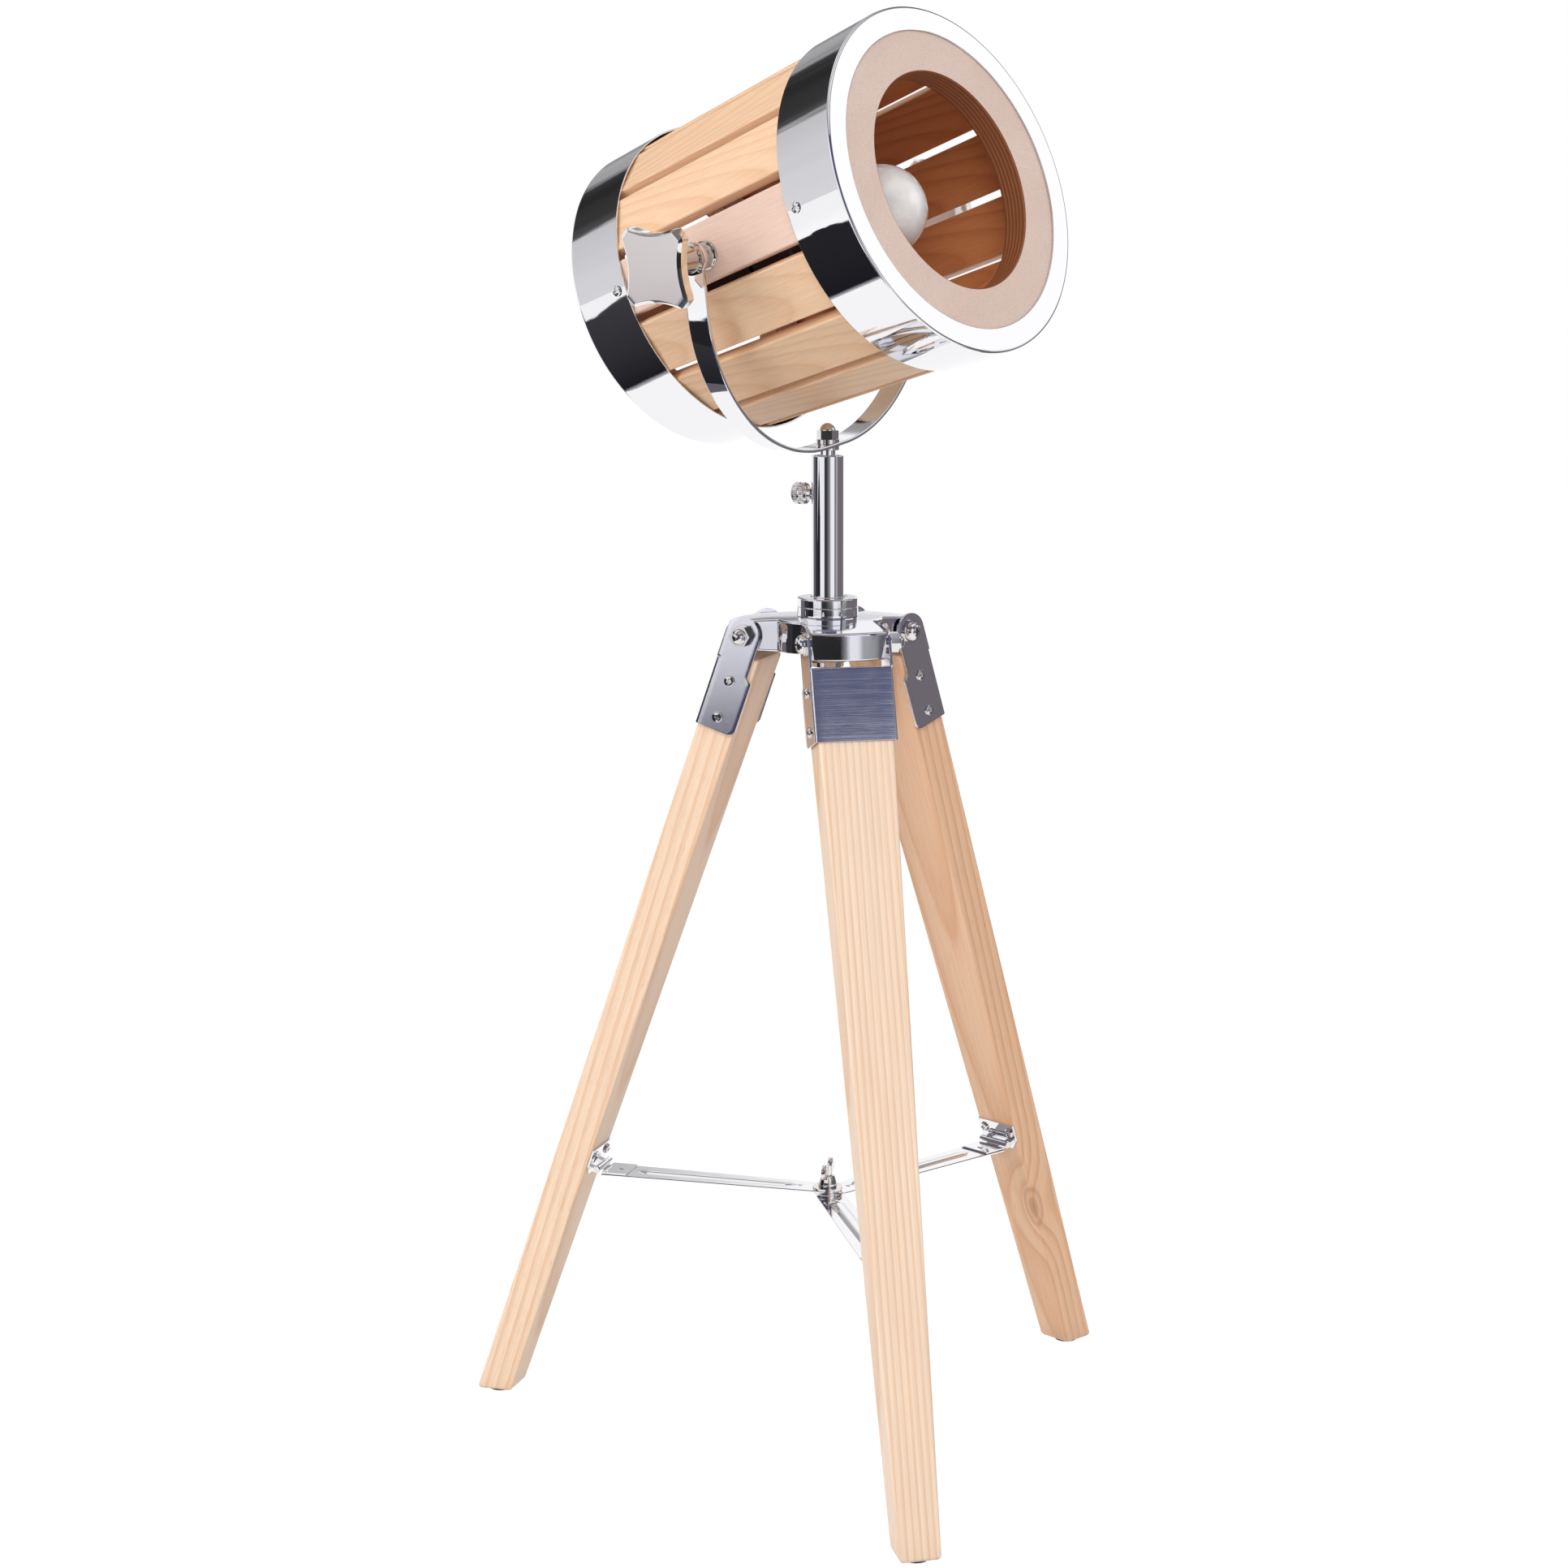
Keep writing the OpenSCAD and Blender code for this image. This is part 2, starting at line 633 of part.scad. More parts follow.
module brace_leaf(k) {
    start = pin_rad(k) - leaf_len;
    end = pin_rad(k) - knuckle_r - 1;
    half_w = brace_hinge_w/2 - 0.8;
    mark = 2.4;
    color(chrome) rotate([0, 0, leg_dir(k)]) translate([0, 0, brace_z(k) + brace_t]) difference() {
        union() {
            translate([0, 0, face_gap]) linear_extrude(leaf_t) polygon([
                [start, -half_w], [end, -half_w], [end, -knuckle_w/2], [pin_rad(k), -knuckle_w/2],
                [pin_rad(k), knuckle_w/2], [end, knuckle_w/2], [end, half_w], [start, half_w]
            ]);
            translate([start + 7, 0, leaf_t]) cylinder(r = mark, h = 0.6, $fn = 3);
            translate([pin_rad(k), 0, knuckle_r]) rotate([90, 0, 0])
                cylinder(r = knuckle_r - face_gap, h = knuckle_w, center = true);
        }
        translate([pin_rad(k), 0, knuckle_r]) rotate([90, 0, 0])
            cylinder(r = pin_r + run_gap, h = knuckle_w + 2, center = true);
    }
}

module spreader_bolt() {
    head_h = 3.6;
    below = centre_washer_t;
    color(nickel) translate([0, 0, disc_z]) {
        translate([0, 0, -below]) cylinder(r = m6_r, h = brace_t + below + 16);
        translate([0, 0, -below - head_h]) cylinder(r = 5.5, h = head_h, $fn = 6);
    }
}

module spreader_washers() {
    color(nickel) for (z = [disc_z - centre_washer_t, disc_z + brace_t])
        translate([0, 0, z]) ring(centre_washer_r, m6_r + run_gap, centre_washer_t);
}

module wing_nut() {
    hub_h = 8;
    wing_t = 3;
    wing_r = 5.5;
    color(nickel) translate([0, 0, wing_z]) rotate([0, 0, 25]) difference() {
        union() {
            cylinder(r1 = 6.4, r2 = 5, h = hub_h, $fn = 48);
            rotate([90, 0, 0]) linear_extrude(wing_t, center = true) for (side = [-1, 1]) {
                polygon([[side*2, 0.8], [side*6, 0.8], [side*(9.4 + wing_r), 11], [side*(10 - wing_r), 14], [side*3.2, 7]]);
                translate([side*10, 12.4]) circle(r = wing_r);
            }
        }
        translate([0, 0, -1]) cylinder(r = m6_r + run_gap, h = bore_cut);
    }
}

// mast and yoke

module mast() {
    color(chrome) {
        translate([0, 0, mast_top_z - mast_len]) difference() {
            cylinder(r = mast_r, h = mast_len);
            translate([0, 0, -1]) cylinder(r = mast_r - 2, h = mast_len - 8);
        }
        translate([0, 0, mast_top_z - 0.1]) cylinder(r = neck_d/2, h = seat_z - face_gap - mast_top_z + 0.1);
        cylinder_between(m8_r, seat_z - 1, nut_z + stud_len);
    }
}

module cylinder_between(r, z1, z2) {
    translate([0, 0, z1]) cylinder(r = r, h = z2 - z1);
}

module thumb_screw() {
    teeth = 36;
    tooth = 0.35;
    head_x = tube_r + 5;
    color(nickel) translate([0, 0, thumb_z]) rotate([0, 0, thumb_dir]) {
        translate([mast_r + face_gap, 0, 0]) along_x() cylinder(r = m5_r, h = head_x - mast_r);
        translate([tube_r + 0.5, 0, 0]) along_x() cylinder(r = 4.4, h = 5);
        translate([head_x, 0, 0]) along_x() linear_extrude(thumb_head*0.36)
            polygon([for (i = [0:2*teeth - 1]) let (a = 180*i/teeth, r = thumb_d/2 - (i % 2)*tooth)
                [r*cos(a), r*sin(a)]]);
        translate([head_x + thumb_head*0.36, 0, 0]) along_x() cylinder(r = thumb_d/2 - 1, h = thumb_head*0.2);
        translate([head_x + thumb_head*0.5, 0, 0]) along_x() linear_extrude(thumb_head*0.5)
            polygon([for (i = [0:2*teeth - 1]) let (a = 180*i/teeth, r = thumb_d/2 - (i % 2)*tooth)
                [r*cos(a), r*sin(a)]]);
    }
}

module yoke_nut() {
    color(nickel) translate([0, 0, nut_z]) {
        acorn_nut(m8_r);
    }
}

// taper washers between the leaning strap and the level seats
module yoke_washers() {
    color(nickel) {
        difference() {
            translate([0, 0, seat_z]) ring(yoke_washer_r, m8_r + run_gap, yoke_z - seat_z + 4);
            at_yoke() translate([-far/2, -far/2, -face_gap]) cube(far);
        }
        difference() {
            translate([0, 0, yoke_z]) ring(yoke_washer_r, m8_r + run_gap, nut_z - face_gap - yoke_z);
            at_yoke() translate([-far/2, -far/2, yoke_t + face_gap - far]) cube(far);
        }
    }
}

module yoke_outline(inset) {
    mid = yoke_half_w - yoke_corner_r;
    half_w = yoke_half_w - inset;
    difference() {
        union() {
            translate([-half_w, yoke_corner_r]) square([2*half_w, yoke_h - yoke_corner_r + inset]);
            translate([-mid, inset]) square([2*mid, yoke_h]);
            for (side = [-1, 1])
                translate([side*mid, yoke_corner_r]) circle(r = yoke_corner_r - inset, $fn = 128);
        }
        translate([-far/2, yoke_h + inset]) square(far);
    }
}

module yoke() {
    color(chrome) at_yoke() difference() {
        union() {
            rotate([90, 0, 0]) linear_extrude(strap_w, center = true) difference() {
                yoke_outline(0);
                yoke_outline(yoke_t);
            }
            for (side = [-1, 1])
                translate([side*(yoke_half_w - yoke_t/2), 0, yoke_h]) along_x()
                    cylinder(r = yoke_ear_r, h = yoke_t, center = true);
        }
        translate([0, 0, yoke_h]) along_x() cylinder(r = m8_r + run_gap, h = far, center = true);
        rotate([0, lean, 0]) cylinder(r = m8_r + run_gap, h = bore_cut, center = true);
    }
}

// barrel

module slat(k, from_s, to_s) {
    half = slat_span/2;
    edge = 1;
    near = slat_r(from_s);
    wide = slat_r(to_s);
    rotate([0, 0, slat_angle(k)]) intersection() {
        // side view: thickness and taper
        rotate([90, 0, 0]) linear_extrude(far, center = true) polygon([
            [near*cos(half) - slat_t/cos(cone), from_s], [near*cos(half), from_s],
            [wide*cos(half), to_s], [wide*cos(half) - slat_t/cos(cone), to_s]
        ]);
        // front view along the barrel's radius: the board narrows towards the back
        rotate([90, 0, 90]) linear_extrude(far) polygon([
            [-near*sin(half), from_s], [near*sin(half), from_s],
            [wide*sin(half), to_s], [-wide*sin(half), to_s]
        ]);
    }
}

module slat_cuts() {
    along_x() cylinder(r = bush_r + face_gap, h = far, center = true);
}

module slats() {
    color(pine) at_barrel() for (k = [0:slat_count - 1])
        if (k != pivot_slats[0] && k != pivot_slats[1])
            difference() {
                slat(k, ring_back_s, ring_front_s);
                band_screw_places() cylinder(r = 1.6 + run_gap, h = bore_cut, center = true);
            }
}

module pivot_slats() {
    color(beige_ply) at_barrel() for (k = pivot_slats)
        difference() {
            slat(k, ring_back_s, ring_front_s);
            translate([0, axis_drop, 0]) slat_cuts();
            band_screw_places() cylinder(r = 1.6 + run_gap, h = bore_cut, center = true);
        }
}

// a plywood ring between the stations s1 and s2
module ply_ring(s1, s2, opening_r) {
    difference() {
        rotate_extrude($fn = 128) polygon([
            [opening_r, s1], [inner_r(s1) - face_gap, s1], [inner_r(s2) - face_gap, s2], [opening_r, s2]
        ]);
        band_screw_places() cylinder(r = 1.6 + run_gap, h = bore_cut, center = true);
    }
}

module front_ring() {
    color(beige_ply) at_barrel() ply_ring(ring_front_s - ring_t, ring_front_s - face_gap, front_opening_r);
}

module back_ring() {
    color(beige_ply) at_barrel() difference() {
        ply_ring(ring_back_s + face_gap, ring_back_s + ring_t, back_opening_r);
        bar_screw_places() cylinder(r = 1.6 + run_gap, h = ring_screw_bore, center = true);
    }
}

// a band over the slats' ends with a lip turned in at the end station
module band(end_s, inner_s, lip_r) {
    out = end_s > 0 ? 1 : -1;
    difference() {
        rotate_extrude($fn = 128) polygon([
            [slat_r(inner_s) + face_gap, inner_s], [slat_r(inner_s) + band_t, inner_s],
            [slat_r(end_s) + band_t, end_s - out*0.8], [slat_r(end_s) + band_t - 0.8, end_s],
            [lip_r, end_s], [lip_r, end_s - out*(band_t - face_gap)],
            [slat_r(end_s) + face_gap, end_s - out*(band_t - face_gap)]
        ]);
        band_screw_places() cylinder(r = 1.6 + run_gap, h = bore_cut, center = true);
    }
}

module front_band() {
    color(chrome) at_barrel() band(front_s, front_s - band_w, front_lip_r);
}

module back_band() {
    color(chrome) at_barrel() band(-back_s, -back_s + band_w, back_lip_r);
}

// on the bands' outer faces, at every fifth slat from the near pivot slat
module band_screw_places() {
    for (k = [near_slat, near_slat - 5, near_slat + 5])
        for (s = [front_s - band_w + band_screw_in, -back_s + band_w - band_screw_in])
            rotate([0, 0, slat_angle(k)]) translate([slat_r(s) + band_t, 0, s]) rotate([0, 90 + cone, 0])
                children();
}

module band_screws() {
    color(nickel) at_barrel() band_screw_places() translate([0, 0, face_gap])
        pan_screw(1.6, 3.6, 1.7, 10);
}

// threaded bushes that hold the knobs' studs in the pivot slats
module pivot_bushes() {
    flange_t = 2;
    color(nickel) at_pivot() for (side = [0, 1]) mirror([side, 0, 0]) difference() {
        union() {
            translate([inner_r(0) - 4, 0, 0]) along_x() cylinder(r = bush_r, h = slat_t + 2);
            translate([inner_r(0) - 4 - flange_t, 0, 0]) along_x() cylinder(r = bush_r + 3.5, h = flange_t + 2.2);
        }
        along_x() cylinder(r = m8_r + run_gap, h = far);
        translate([0, -axis_drop, 0]) slat_shadow();
    }
}

// what a pivot slat and its outside take away from a bush's flange
module slat_shadow() {
    difference() {
        slat(0, -bush_zone, bush_zone);
        translate([0, axis_drop, 0]) slat_cuts();
    }
}

module pivot_spacers() {
    start = slat_face - 3;
    color(chrome) at_pivot() for (side = [0, 1]) mirror([side, 0, 0]) difference() {
        translate([start, 0, 0]) along_x() cylinder(r = spacer_r, h = arm_in - face_gap - start);
        along_x() cylinder(r = m8_r + run_gap, h = far);
        translate([0, -axis_drop, 0]) slat(0, -bush_zone, bush_zone);
        along_x() cylinder(r = bush_r + face_gap, h = inner_r(0) + slat_t + 0.5);
    }
}

module knob_plan(inset) {
    clip = 5;
    side_r = knob_w*1.05;
    sag = 3.6;
    difference() {
        intersection() {
            square(knob_w - 2*inset, center = true);
            rotate(45) square((knob_w - clip)*sqrt(2) - 2*inset, center = true);
        }
        for (a = [0:90:270])
            rotate(a) translate([knob_w/2 + side_r - sag, 0]) circle(r = side_r + inset, $fn = 96);
    }
}

// a square knob with hollow sides on a hub, with its stud; x points outward
module knob() {
    stud_in = inner_r(0) - 8;
    plate_x = yoke_half_w + face_gap + knob_hub;
    bevel = 1.5;
    translate([plate_x, 0, 0]) rotate([0, 90, 0]) rotate(knob_turn) {
        linear_extrude(knob_t - bevel) knob_plan(0);
        translate([0, 0, knob_t - bevel - 0.1]) linear_extrude(bevel + 0.1) knob_plan(bevel);
    }
    translate([yoke_half_w + face_gap, 0, 0]) along_x() cylinder(r = knob_hub_r, h = knob_hub + 0.5);
    translate([yoke_half_w + face_gap, 0, 0]) along_x() cylinder(r = knob_hub_r + 1.6, h = 2);
    translate([stud_in, 0, 0]) along_x() cylinder(r = m8_r, h = yoke_half_w - stud_in + 1);
}

module knob_near() {
    color(nickel) at_pivot() mirror([1, 0, 0]) knob();
}

module knob_far() {
    color(nickel) at_pivot() knob();
}

// lamp

bar_half = sqrt(pow(inner_r(bar_s), 2) - pow(bar_w/2, 2)) - 1;

module lamp_bar() {
    color(pine) at_barrel() difference() {
        translate([-bar_half, -bar_w/2, bar_s + face_gap]) cube([2*bar_half, bar_w, bar_t]);
        translate([0, 0, bar_s - 1]) cylinder(r = gland_r + run_gap, h = bar_t + 3);
        bar_screw_places() cylinder(r = 1.6 + run_gap, h = ring_screw_bore, center = true);
    }
}

module bar_screw_places() {
    for (side = [-1, 1])
        translate([side*(back_opening_r + bar_screw_out), 0, bar_s + bar_t + face_gap]) children();
}

module bar_screws() {
    color(nickel) at_barrel() bar_screw_places() translate([0, 0, face_gap])
        pan_screw(1.6, 3.6, 1.7, 24);
}

module holder_cup() {
    foot = bar_s + bar_t + 2*face_gap;
    color(black) at_barrel() difference() {
        union() {
            translate([0, 0, foot]) cylinder(r = holder_cup_r, h = holder_foot_s - foot - face_gap);
            translate([0, 0, foot]) cylinder(r = holder_cup_r + 2, h = 4);
        }
        translate([0, 0, foot - 1]) cylinder(r = holder_cup_r - 3, h = far/2);
    }
}

module lampholder() {
    wall = 3;
    rim = 3;
    seat = bulb_foot_s - 4;
    color(black) at_barrel() difference() {
        rotate_extrude() polygon([
            [0, holder_foot_s], [holder_r - 5, holder_foot_s], [holder_r - 1, holder_foot_s + 5],
            [holder_r - 1, holder_front_s - 22], [holder_r + rim, holder_front_s - 20],
            [holder_r + rim, holder_front_s - 15], [holder_r, holder_front_s - 13],
            [holder_r - 1, holder_front_s], [0, holder_front_s]
        ]);
        translate([0, 0, seat]) cylinder(r = cap_r + run_gap, h = far);
        translate([0, 0, holder_foot_s - 1]) cylinder(r = 5, h = wall + 1);
    }
}

module holder_contact() {
    color([0.75, 0.6, 0.3]) at_barrel() translate([0, 0, bulb_foot_s - 4 + face_gap])
        cylinder(r = 6, h = 4 - 2*face_gap);
}

module bulb_cap() {
    tip_r = 5;
    color(nickel) at_barrel() rotate_extrude() polygon([
        [0, bulb_foot_s], [tip_r, bulb_foot_s], [cap_r - 1, bulb_foot_s + 5],
        [cap_r - 0.1, bulb_foot_s + 7], [cap_r - 0.1, bulb_foot_s + cap_len], [0, bulb_foot_s + cap_len]
    ]);
}

module bulb_globe() {
    neck_r = cap_r - 0.6;
    neck_s = bulb_foot_s + cap_len + face_gap;
    shoulder_a = -52;
    color([0.96, 0.96, 0.95]) at_barrel() rotate_extrude() polygon(concat(
        [[0, neck_s], [neck_r, neck_s], [neck_r + 1.2, neck_s + 8]],
        [for (a = [shoulder_a:6:86]) [bulb_r*cos(a), bulb_s + bulb_r*sin(a)]],
        [[0, bulb_top_s]]
    ));
}

module cord_gland() {
    color(black) at_barrel() difference() {
        union() {
            translate([0, 0, bar_s + face_gap - 3]) cylinder(r = gland_r + 3, h = 3);
            translate([0, 0, bar_s - 1]) cylinder(r = gland_r, h = bar_t);
        }
        translate([0, 0, bar_s - 5]) cylinder(r = gland_r - 3, h = bar_t + 10);
    }
}

hub();
hub_locknut();
collar();
stem_tube();
leg_bolts();
leg_nuts();
leg_washers();
for (k = [0:2]) {
    leg(k);
    bracket(k);
    leg_screws(k);
    pad(k);
    hinge_plate(k);
    hinge_pin(k);
    brace(k);
    brace_leaf(k);
}
spreader_bolt();
spreader_washers();
wing_nut();
mast();
thumb_screw();
yoke_nut();
yoke_washers();
yoke();
slats();
pivot_slats();
front_ring();
back_ring();
front_band();
back_band();
band_screws();
pivot_bushes();
pivot_spacers();
knob_near();
knob_far();
lamp_bar();
bar_screws();
holder_cup();
lampholder();
holder_contact();
bulb_cap();
bulb_globe();
cord_gland();
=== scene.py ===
import math

import bmesh
import bpy
import numpy as np
from mathutils import Matrix


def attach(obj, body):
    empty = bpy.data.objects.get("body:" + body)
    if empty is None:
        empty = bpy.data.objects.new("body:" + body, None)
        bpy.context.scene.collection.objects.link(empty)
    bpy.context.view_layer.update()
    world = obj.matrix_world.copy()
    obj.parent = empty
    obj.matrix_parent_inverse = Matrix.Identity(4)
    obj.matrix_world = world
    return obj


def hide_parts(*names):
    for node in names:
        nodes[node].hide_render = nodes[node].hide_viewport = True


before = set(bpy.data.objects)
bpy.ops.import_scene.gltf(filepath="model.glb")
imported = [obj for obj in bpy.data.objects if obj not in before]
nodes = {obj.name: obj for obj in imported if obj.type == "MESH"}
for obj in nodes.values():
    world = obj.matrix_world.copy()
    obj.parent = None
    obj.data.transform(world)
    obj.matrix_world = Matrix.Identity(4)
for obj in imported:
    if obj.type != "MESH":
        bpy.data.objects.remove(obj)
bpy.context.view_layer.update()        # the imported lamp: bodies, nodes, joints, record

mm = 0.001
rad = math.radians
print("frame loaded,", len(nodes), "nodes")

# Places use the same axes as the part's source, in millimetres.
legPlan = {
    "pivotZ": 570.0, "pivotR": 52.4, "splay": 19.3,
    "dirs": {"front": -129.4, "left": 110.6, "right": -9.4},
    "topHalfW": 27.0, "footHalfW": 13.9, "topOut": 11.1, "footOut": 13.3, "topT": 27.3, "footT": 25.0,
    "topL": 19.7, "topInL": 13.0, "edge": 1.8, "chamfer": 1.2,
    "padH": 3.0, "padR": 251.81, "padD": 17.0,
    "knotLeg": "right", "knot": (472.0, -16.8, -12.7), "knotSize": 0.011,
}
headPlan = {
    "lean": 8.7, "tilt": 19.0, "yokeZ": 698.9, "yokeH": 147.5, "axisDrop": 8.5,
    "slatCount": 15, "rise": 6.0, "pitch": 24.0, "span": 20.0, "slatT": 9.0, "pivotSlats": (0, 7),
    "frontR": 115.0, "backR": 103.5, "frontS": 127.2, "backS": 123.6,
}


def axisPlace(origin, xDir, yDir, zDir):
    # Local coordinates along three directions from an origin, to metres.
    basis = np.array([xDir, yDir, zDir])

    def place(p):
        return (np.asarray(origin) + p @ basis)*mm
    return place


upward = np.array([0, 0, 1.0])


def legPlace(name):
    # Leg coordinates: across, outward from the pivot line, and down the leg.
    a, s = rad(legPlan["dirs"][name]), rad(legPlan["splay"])
    outward = np.array([math.cos(a), math.sin(a), 0.0])
    across = np.array([-math.sin(a), math.cos(a), 0.0])
    return axisPlace(legPlan["pivotR"]*outward + legPlan["pivotZ"]*upward, across,
                     math.cos(s)*outward + math.sin(s)*upward, math.sin(s)*outward - math.cos(s)*upward)


def turnedPlace(angle, lift=0.0):
    # Coordinates about the stem axis, turned by an angle seen from above.
    c, s = math.cos(rad(angle)), math.sin(rad(angle))
    return axisPlace(lift*upward, [c, s, 0], [-s, c, 0], upward)


lean, tilt = rad(headPlan["lean"]), rad(headPlan["tilt"])
yokeX = np.array([math.cos(lean), 0.0, math.sin(lean)])
yokeUp = np.array([-math.sin(lean), 0.0, math.cos(lean)])
yokeFoot = headPlan["yokeZ"]*upward
pivot = yokeFoot + headPlan["yokeH"]*yokeUp
yokeAhead = np.cross(yokeUp, yokeX)                                # +Y in the yoke's own place
barrelAxis = math.sin(tilt)*yokeUp - math.cos(tilt)*yokeAhead      # towards the mouth
barrelUp = math.cos(tilt)*yokeUp + math.sin(tilt)*yokeAhead
barrelMid = pivot - headPlan["axisDrop"]*barrelUp
barrelPlace = axisPlace(barrelMid, yokeX, barrelUp, barrelAxis)
yokePlace = axisPlace(yokeFoot, yokeX, yokeAhead, yokeUp)
rowPlace = axisPlace(np.zeros(3), *np.eye(3))


def addObject(name, data):
    thing = bpy.data.objects.new(name, data)
    bpy.context.scene.collection.objects.link(thing)
    return thing


def newMesh(name, points, faces):
    mesh = bpy.data.meshes.new(name)
    points = np.asarray(points, float).reshape(-1, 3)
    mesh.from_pydata(points.tolist(), [], [list(map(int, f)) for f in faces])
    return mesh


def gridQuads(rows, cols, closeRows=False, closeCols=False):
    # Quads of a rows x cols grid of points, numbered row by row.
    i = np.arange(rows if closeRows else rows - 1)[:, None]
    j = np.arange(cols if closeCols else cols - 1)[None, :]
    i2, j2 = (i + 1) % rows, (j + 1) % cols
    return np.stack([i*cols + j, i*cols + j2, i2*cols + j2, i2*cols + j], -1).reshape(-1, 4)


def outwardFaces(piece):
    work = bmesh.new()
    work.from_mesh(piece.data)
    bmesh.ops.recalc_face_normals(work, faces=work.faces)
    work.to_mesh(piece.data)
    work.free()
    piece.data.polygons.foreach_set("use_smooth", np.ones(len(piece.data.polygons), bool))


def makePiece(name, points, faces, material, body, replaced, slot, grain=None, smooth=38, faceMaterial=None,
              outward=True):
    # One mesh object that rides on a body and stands for a CAD node.
    mesh = newMesh(name, points, faces)
    mesh.update()
    for one in material if isinstance(material, list) else [material]:
        mesh.materials.append(one)
    if faceMaterial is not None:
        mesh.polygons.foreach_set("material_index", np.asarray(faceMaterial, int))
    if grain is not None:
        field = mesh.attributes.new("grain", "FLOAT_VECTOR", "POINT")
        field.data.foreach_set("vector", np.asarray(grain, float).reshape(-1))
    mesh.polygons.foreach_set("use_smooth", np.ones(len(mesh.polygons), bool))
    mesh.set_sharp_from_angle(angle=rad(smooth))
    piece = addObject(name, mesh)
    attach(piece, body)
    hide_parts(replaced)
    if outward:
        outwardFaces(piece)
    return piece


def joinParts(parts):
    # Stacks (points, faces[, grain]) parts into one mesh's arrays.
    points, faces, grain, start = [], [], [], 0
    for part in parts:
        p = np.asarray(part[0], float).reshape(-1, 3)
        points.append(p)
        faces += [[int(v) + start for v in f] for f in part[1]]
        grain.append(np.asarray(part[2], float).reshape(-1, 3) if len(part) > 2 else p)
        start += len(p)
    return np.concatenate(points), faces, np.concatenate(grain)


def softened(corners, radius, steps=4):
    # A polygon with each corner replaced by a short curve: a quadratic arc between points a radius away from
    # the corner along its two sides, and one more point just past each of them that keeps the sides flat.
    corners = np.asarray(corners, float)
    radius = np.broadcast_to(np.asarray(radius, float), (len(corners),))
    toB, toA = np.roll(corners, 1, 0) - corners, np.roll(corners, -1, 0) - corners
    lenB, lenA = np.linalg.norm(toB, axis=1), np.linalg.norm(toA, axis=1)
    toB, toA = toB/lenB[:, None], toA/lenA[:, None]
    r = np.minimum(radius, 0.49*np.minimum(lenB, lenA))
    holdB = np.minimum(0.3, 0.2*(lenB - r - np.roll(r, 1)))[:, None, None]
    holdA = np.minimum(0.3, 0.2*(lenA - r - np.roll(r, -1)))[:, None, None]
    u = np.linspace(0, 1, steps)[None, :, None]
    first, last = (corners + toB*r[:, None])[:, None], (corners + toA*r[:, None])[:, None]
    curve = (1 - u)**2*first + 2*u*(1 - u)*corners[:, None] + u**2*last
    return np.concatenate([first + holdB*toB[:, None], curve, last + holdA*toA[:, None]], 1).reshape(-1, 2)


def carried(profile, steps, ripple):
    # A profile (r, z) round the z axis: x = r cos a, y = r sin a, with ripple(a, r, z) added to the radius.
    a = np.linspace(0, 2*math.pi, steps, endpoint=False)[:, None]
    r, z = profile[:, 0][None, :], profile[:, 1][None, :]
    r = r + (ripple(a, r, z) if ripple else 0)
    return np.stack([r*np.cos(a), r*np.sin(a), np.broadcast_to(z, (steps, len(profile)))], -1)


def spun(profile, steps, place, ripple=None):
    # A closed profile carried round the axis.
    quads = gridQuads(steps, len(profile), closeRows=True, closeCols=True)
    return place(carried(profile, steps, ripple)), quads


def solidSpun(profile, steps, place, ripple=None):
    # The same for a profile that starts and ends on the axis: the two poles are single points.
    count = len(profile) - 2
    p = carried(profile[1:-1], steps, ripple).reshape(-1, 3)
    poles = np.array([[0, 0, profile[0, 1]], [0, 0, profile[-1, 1]]])
    i = np.arange(steps)
    after = (i + 1) % steps*count
    faces = gridQuads(steps, count, closeRows=True).tolist()
    faces += np.stack([np.full(steps, steps*count), i*count, after], -1).tolist()
    faces += np.stack([np.full(steps, steps*count + 1), after + count - 1, i*count + count - 1], -1).tolist()
    return place(np.concatenate([p, poles])), faces


def lofted(sections):
    # Closed rings of points, one after another, with a flat cap on each end.
    sections = np.asarray(sections, float)
    rows, cols = sections.shape[:2]
    faces = gridQuads(rows, cols, closeCols=True).tolist()
    faces.append(list(range(cols))[::-1])
    faces.append(list(range((rows - 1)*cols, rows*cols)))
    return sections.reshape(-1, 3), faces


def rectangle(x1, x2, y1, y2, less=0.0):
    # Corners from the far x and far y, going down y first, drawn in by an inset.
    return [[x2 - less, y2 - less], [x2 - less, y1 + less], [x1 + less, y1 + less], [x1 + less, y2 - less]]


def asSheet(piece, thickness, easing):
    # Gives an open surface the thickness of sheet metal below it, and eases its edges.
    thick = piece.modifiers.new("sheet", "SOLIDIFY")
    thick.thickness = thickness*mm
    thick.offset = -1
    bevel = piece.modifiers.new("easedEdges", "BEVEL")
    bevel.width = easing*mm
    bevel.segments = 2
    bevel.limit_method = "ANGLE"
    bevel.angle_limit = rad(60)


def tone(*rgb):
    # A colour written as it looks on screen, 0 to 255, in Blender's linear values.
    c = np.array(rgb, float)/255
    return tuple(float(v) for v in np.where(c <= 0.04045, c/12.92, ((c + 0.055)/1.055)**2.4))


def feed(socket, value):
    # Links a socket to another, or sets its value; a colour may come as three numbers.
    if isinstance(value, bpy.types.NodeSocket):
        socket.id_data.links.new(value, socket)
    elif socket.type == "RGBA" and len(value) == 3:
        socket.default_value = (*value, 1.0)
    else:
        socket.default_value = value


def newNode(tree, kind, inputs, **settings):
    node = tree.nodes.new("ShaderNode" + kind)
    for key, value in settings.items():
        setattr(node, key, value)
    for key, value in inputs.items():
        feed(node.inputs[key], value)
    return node


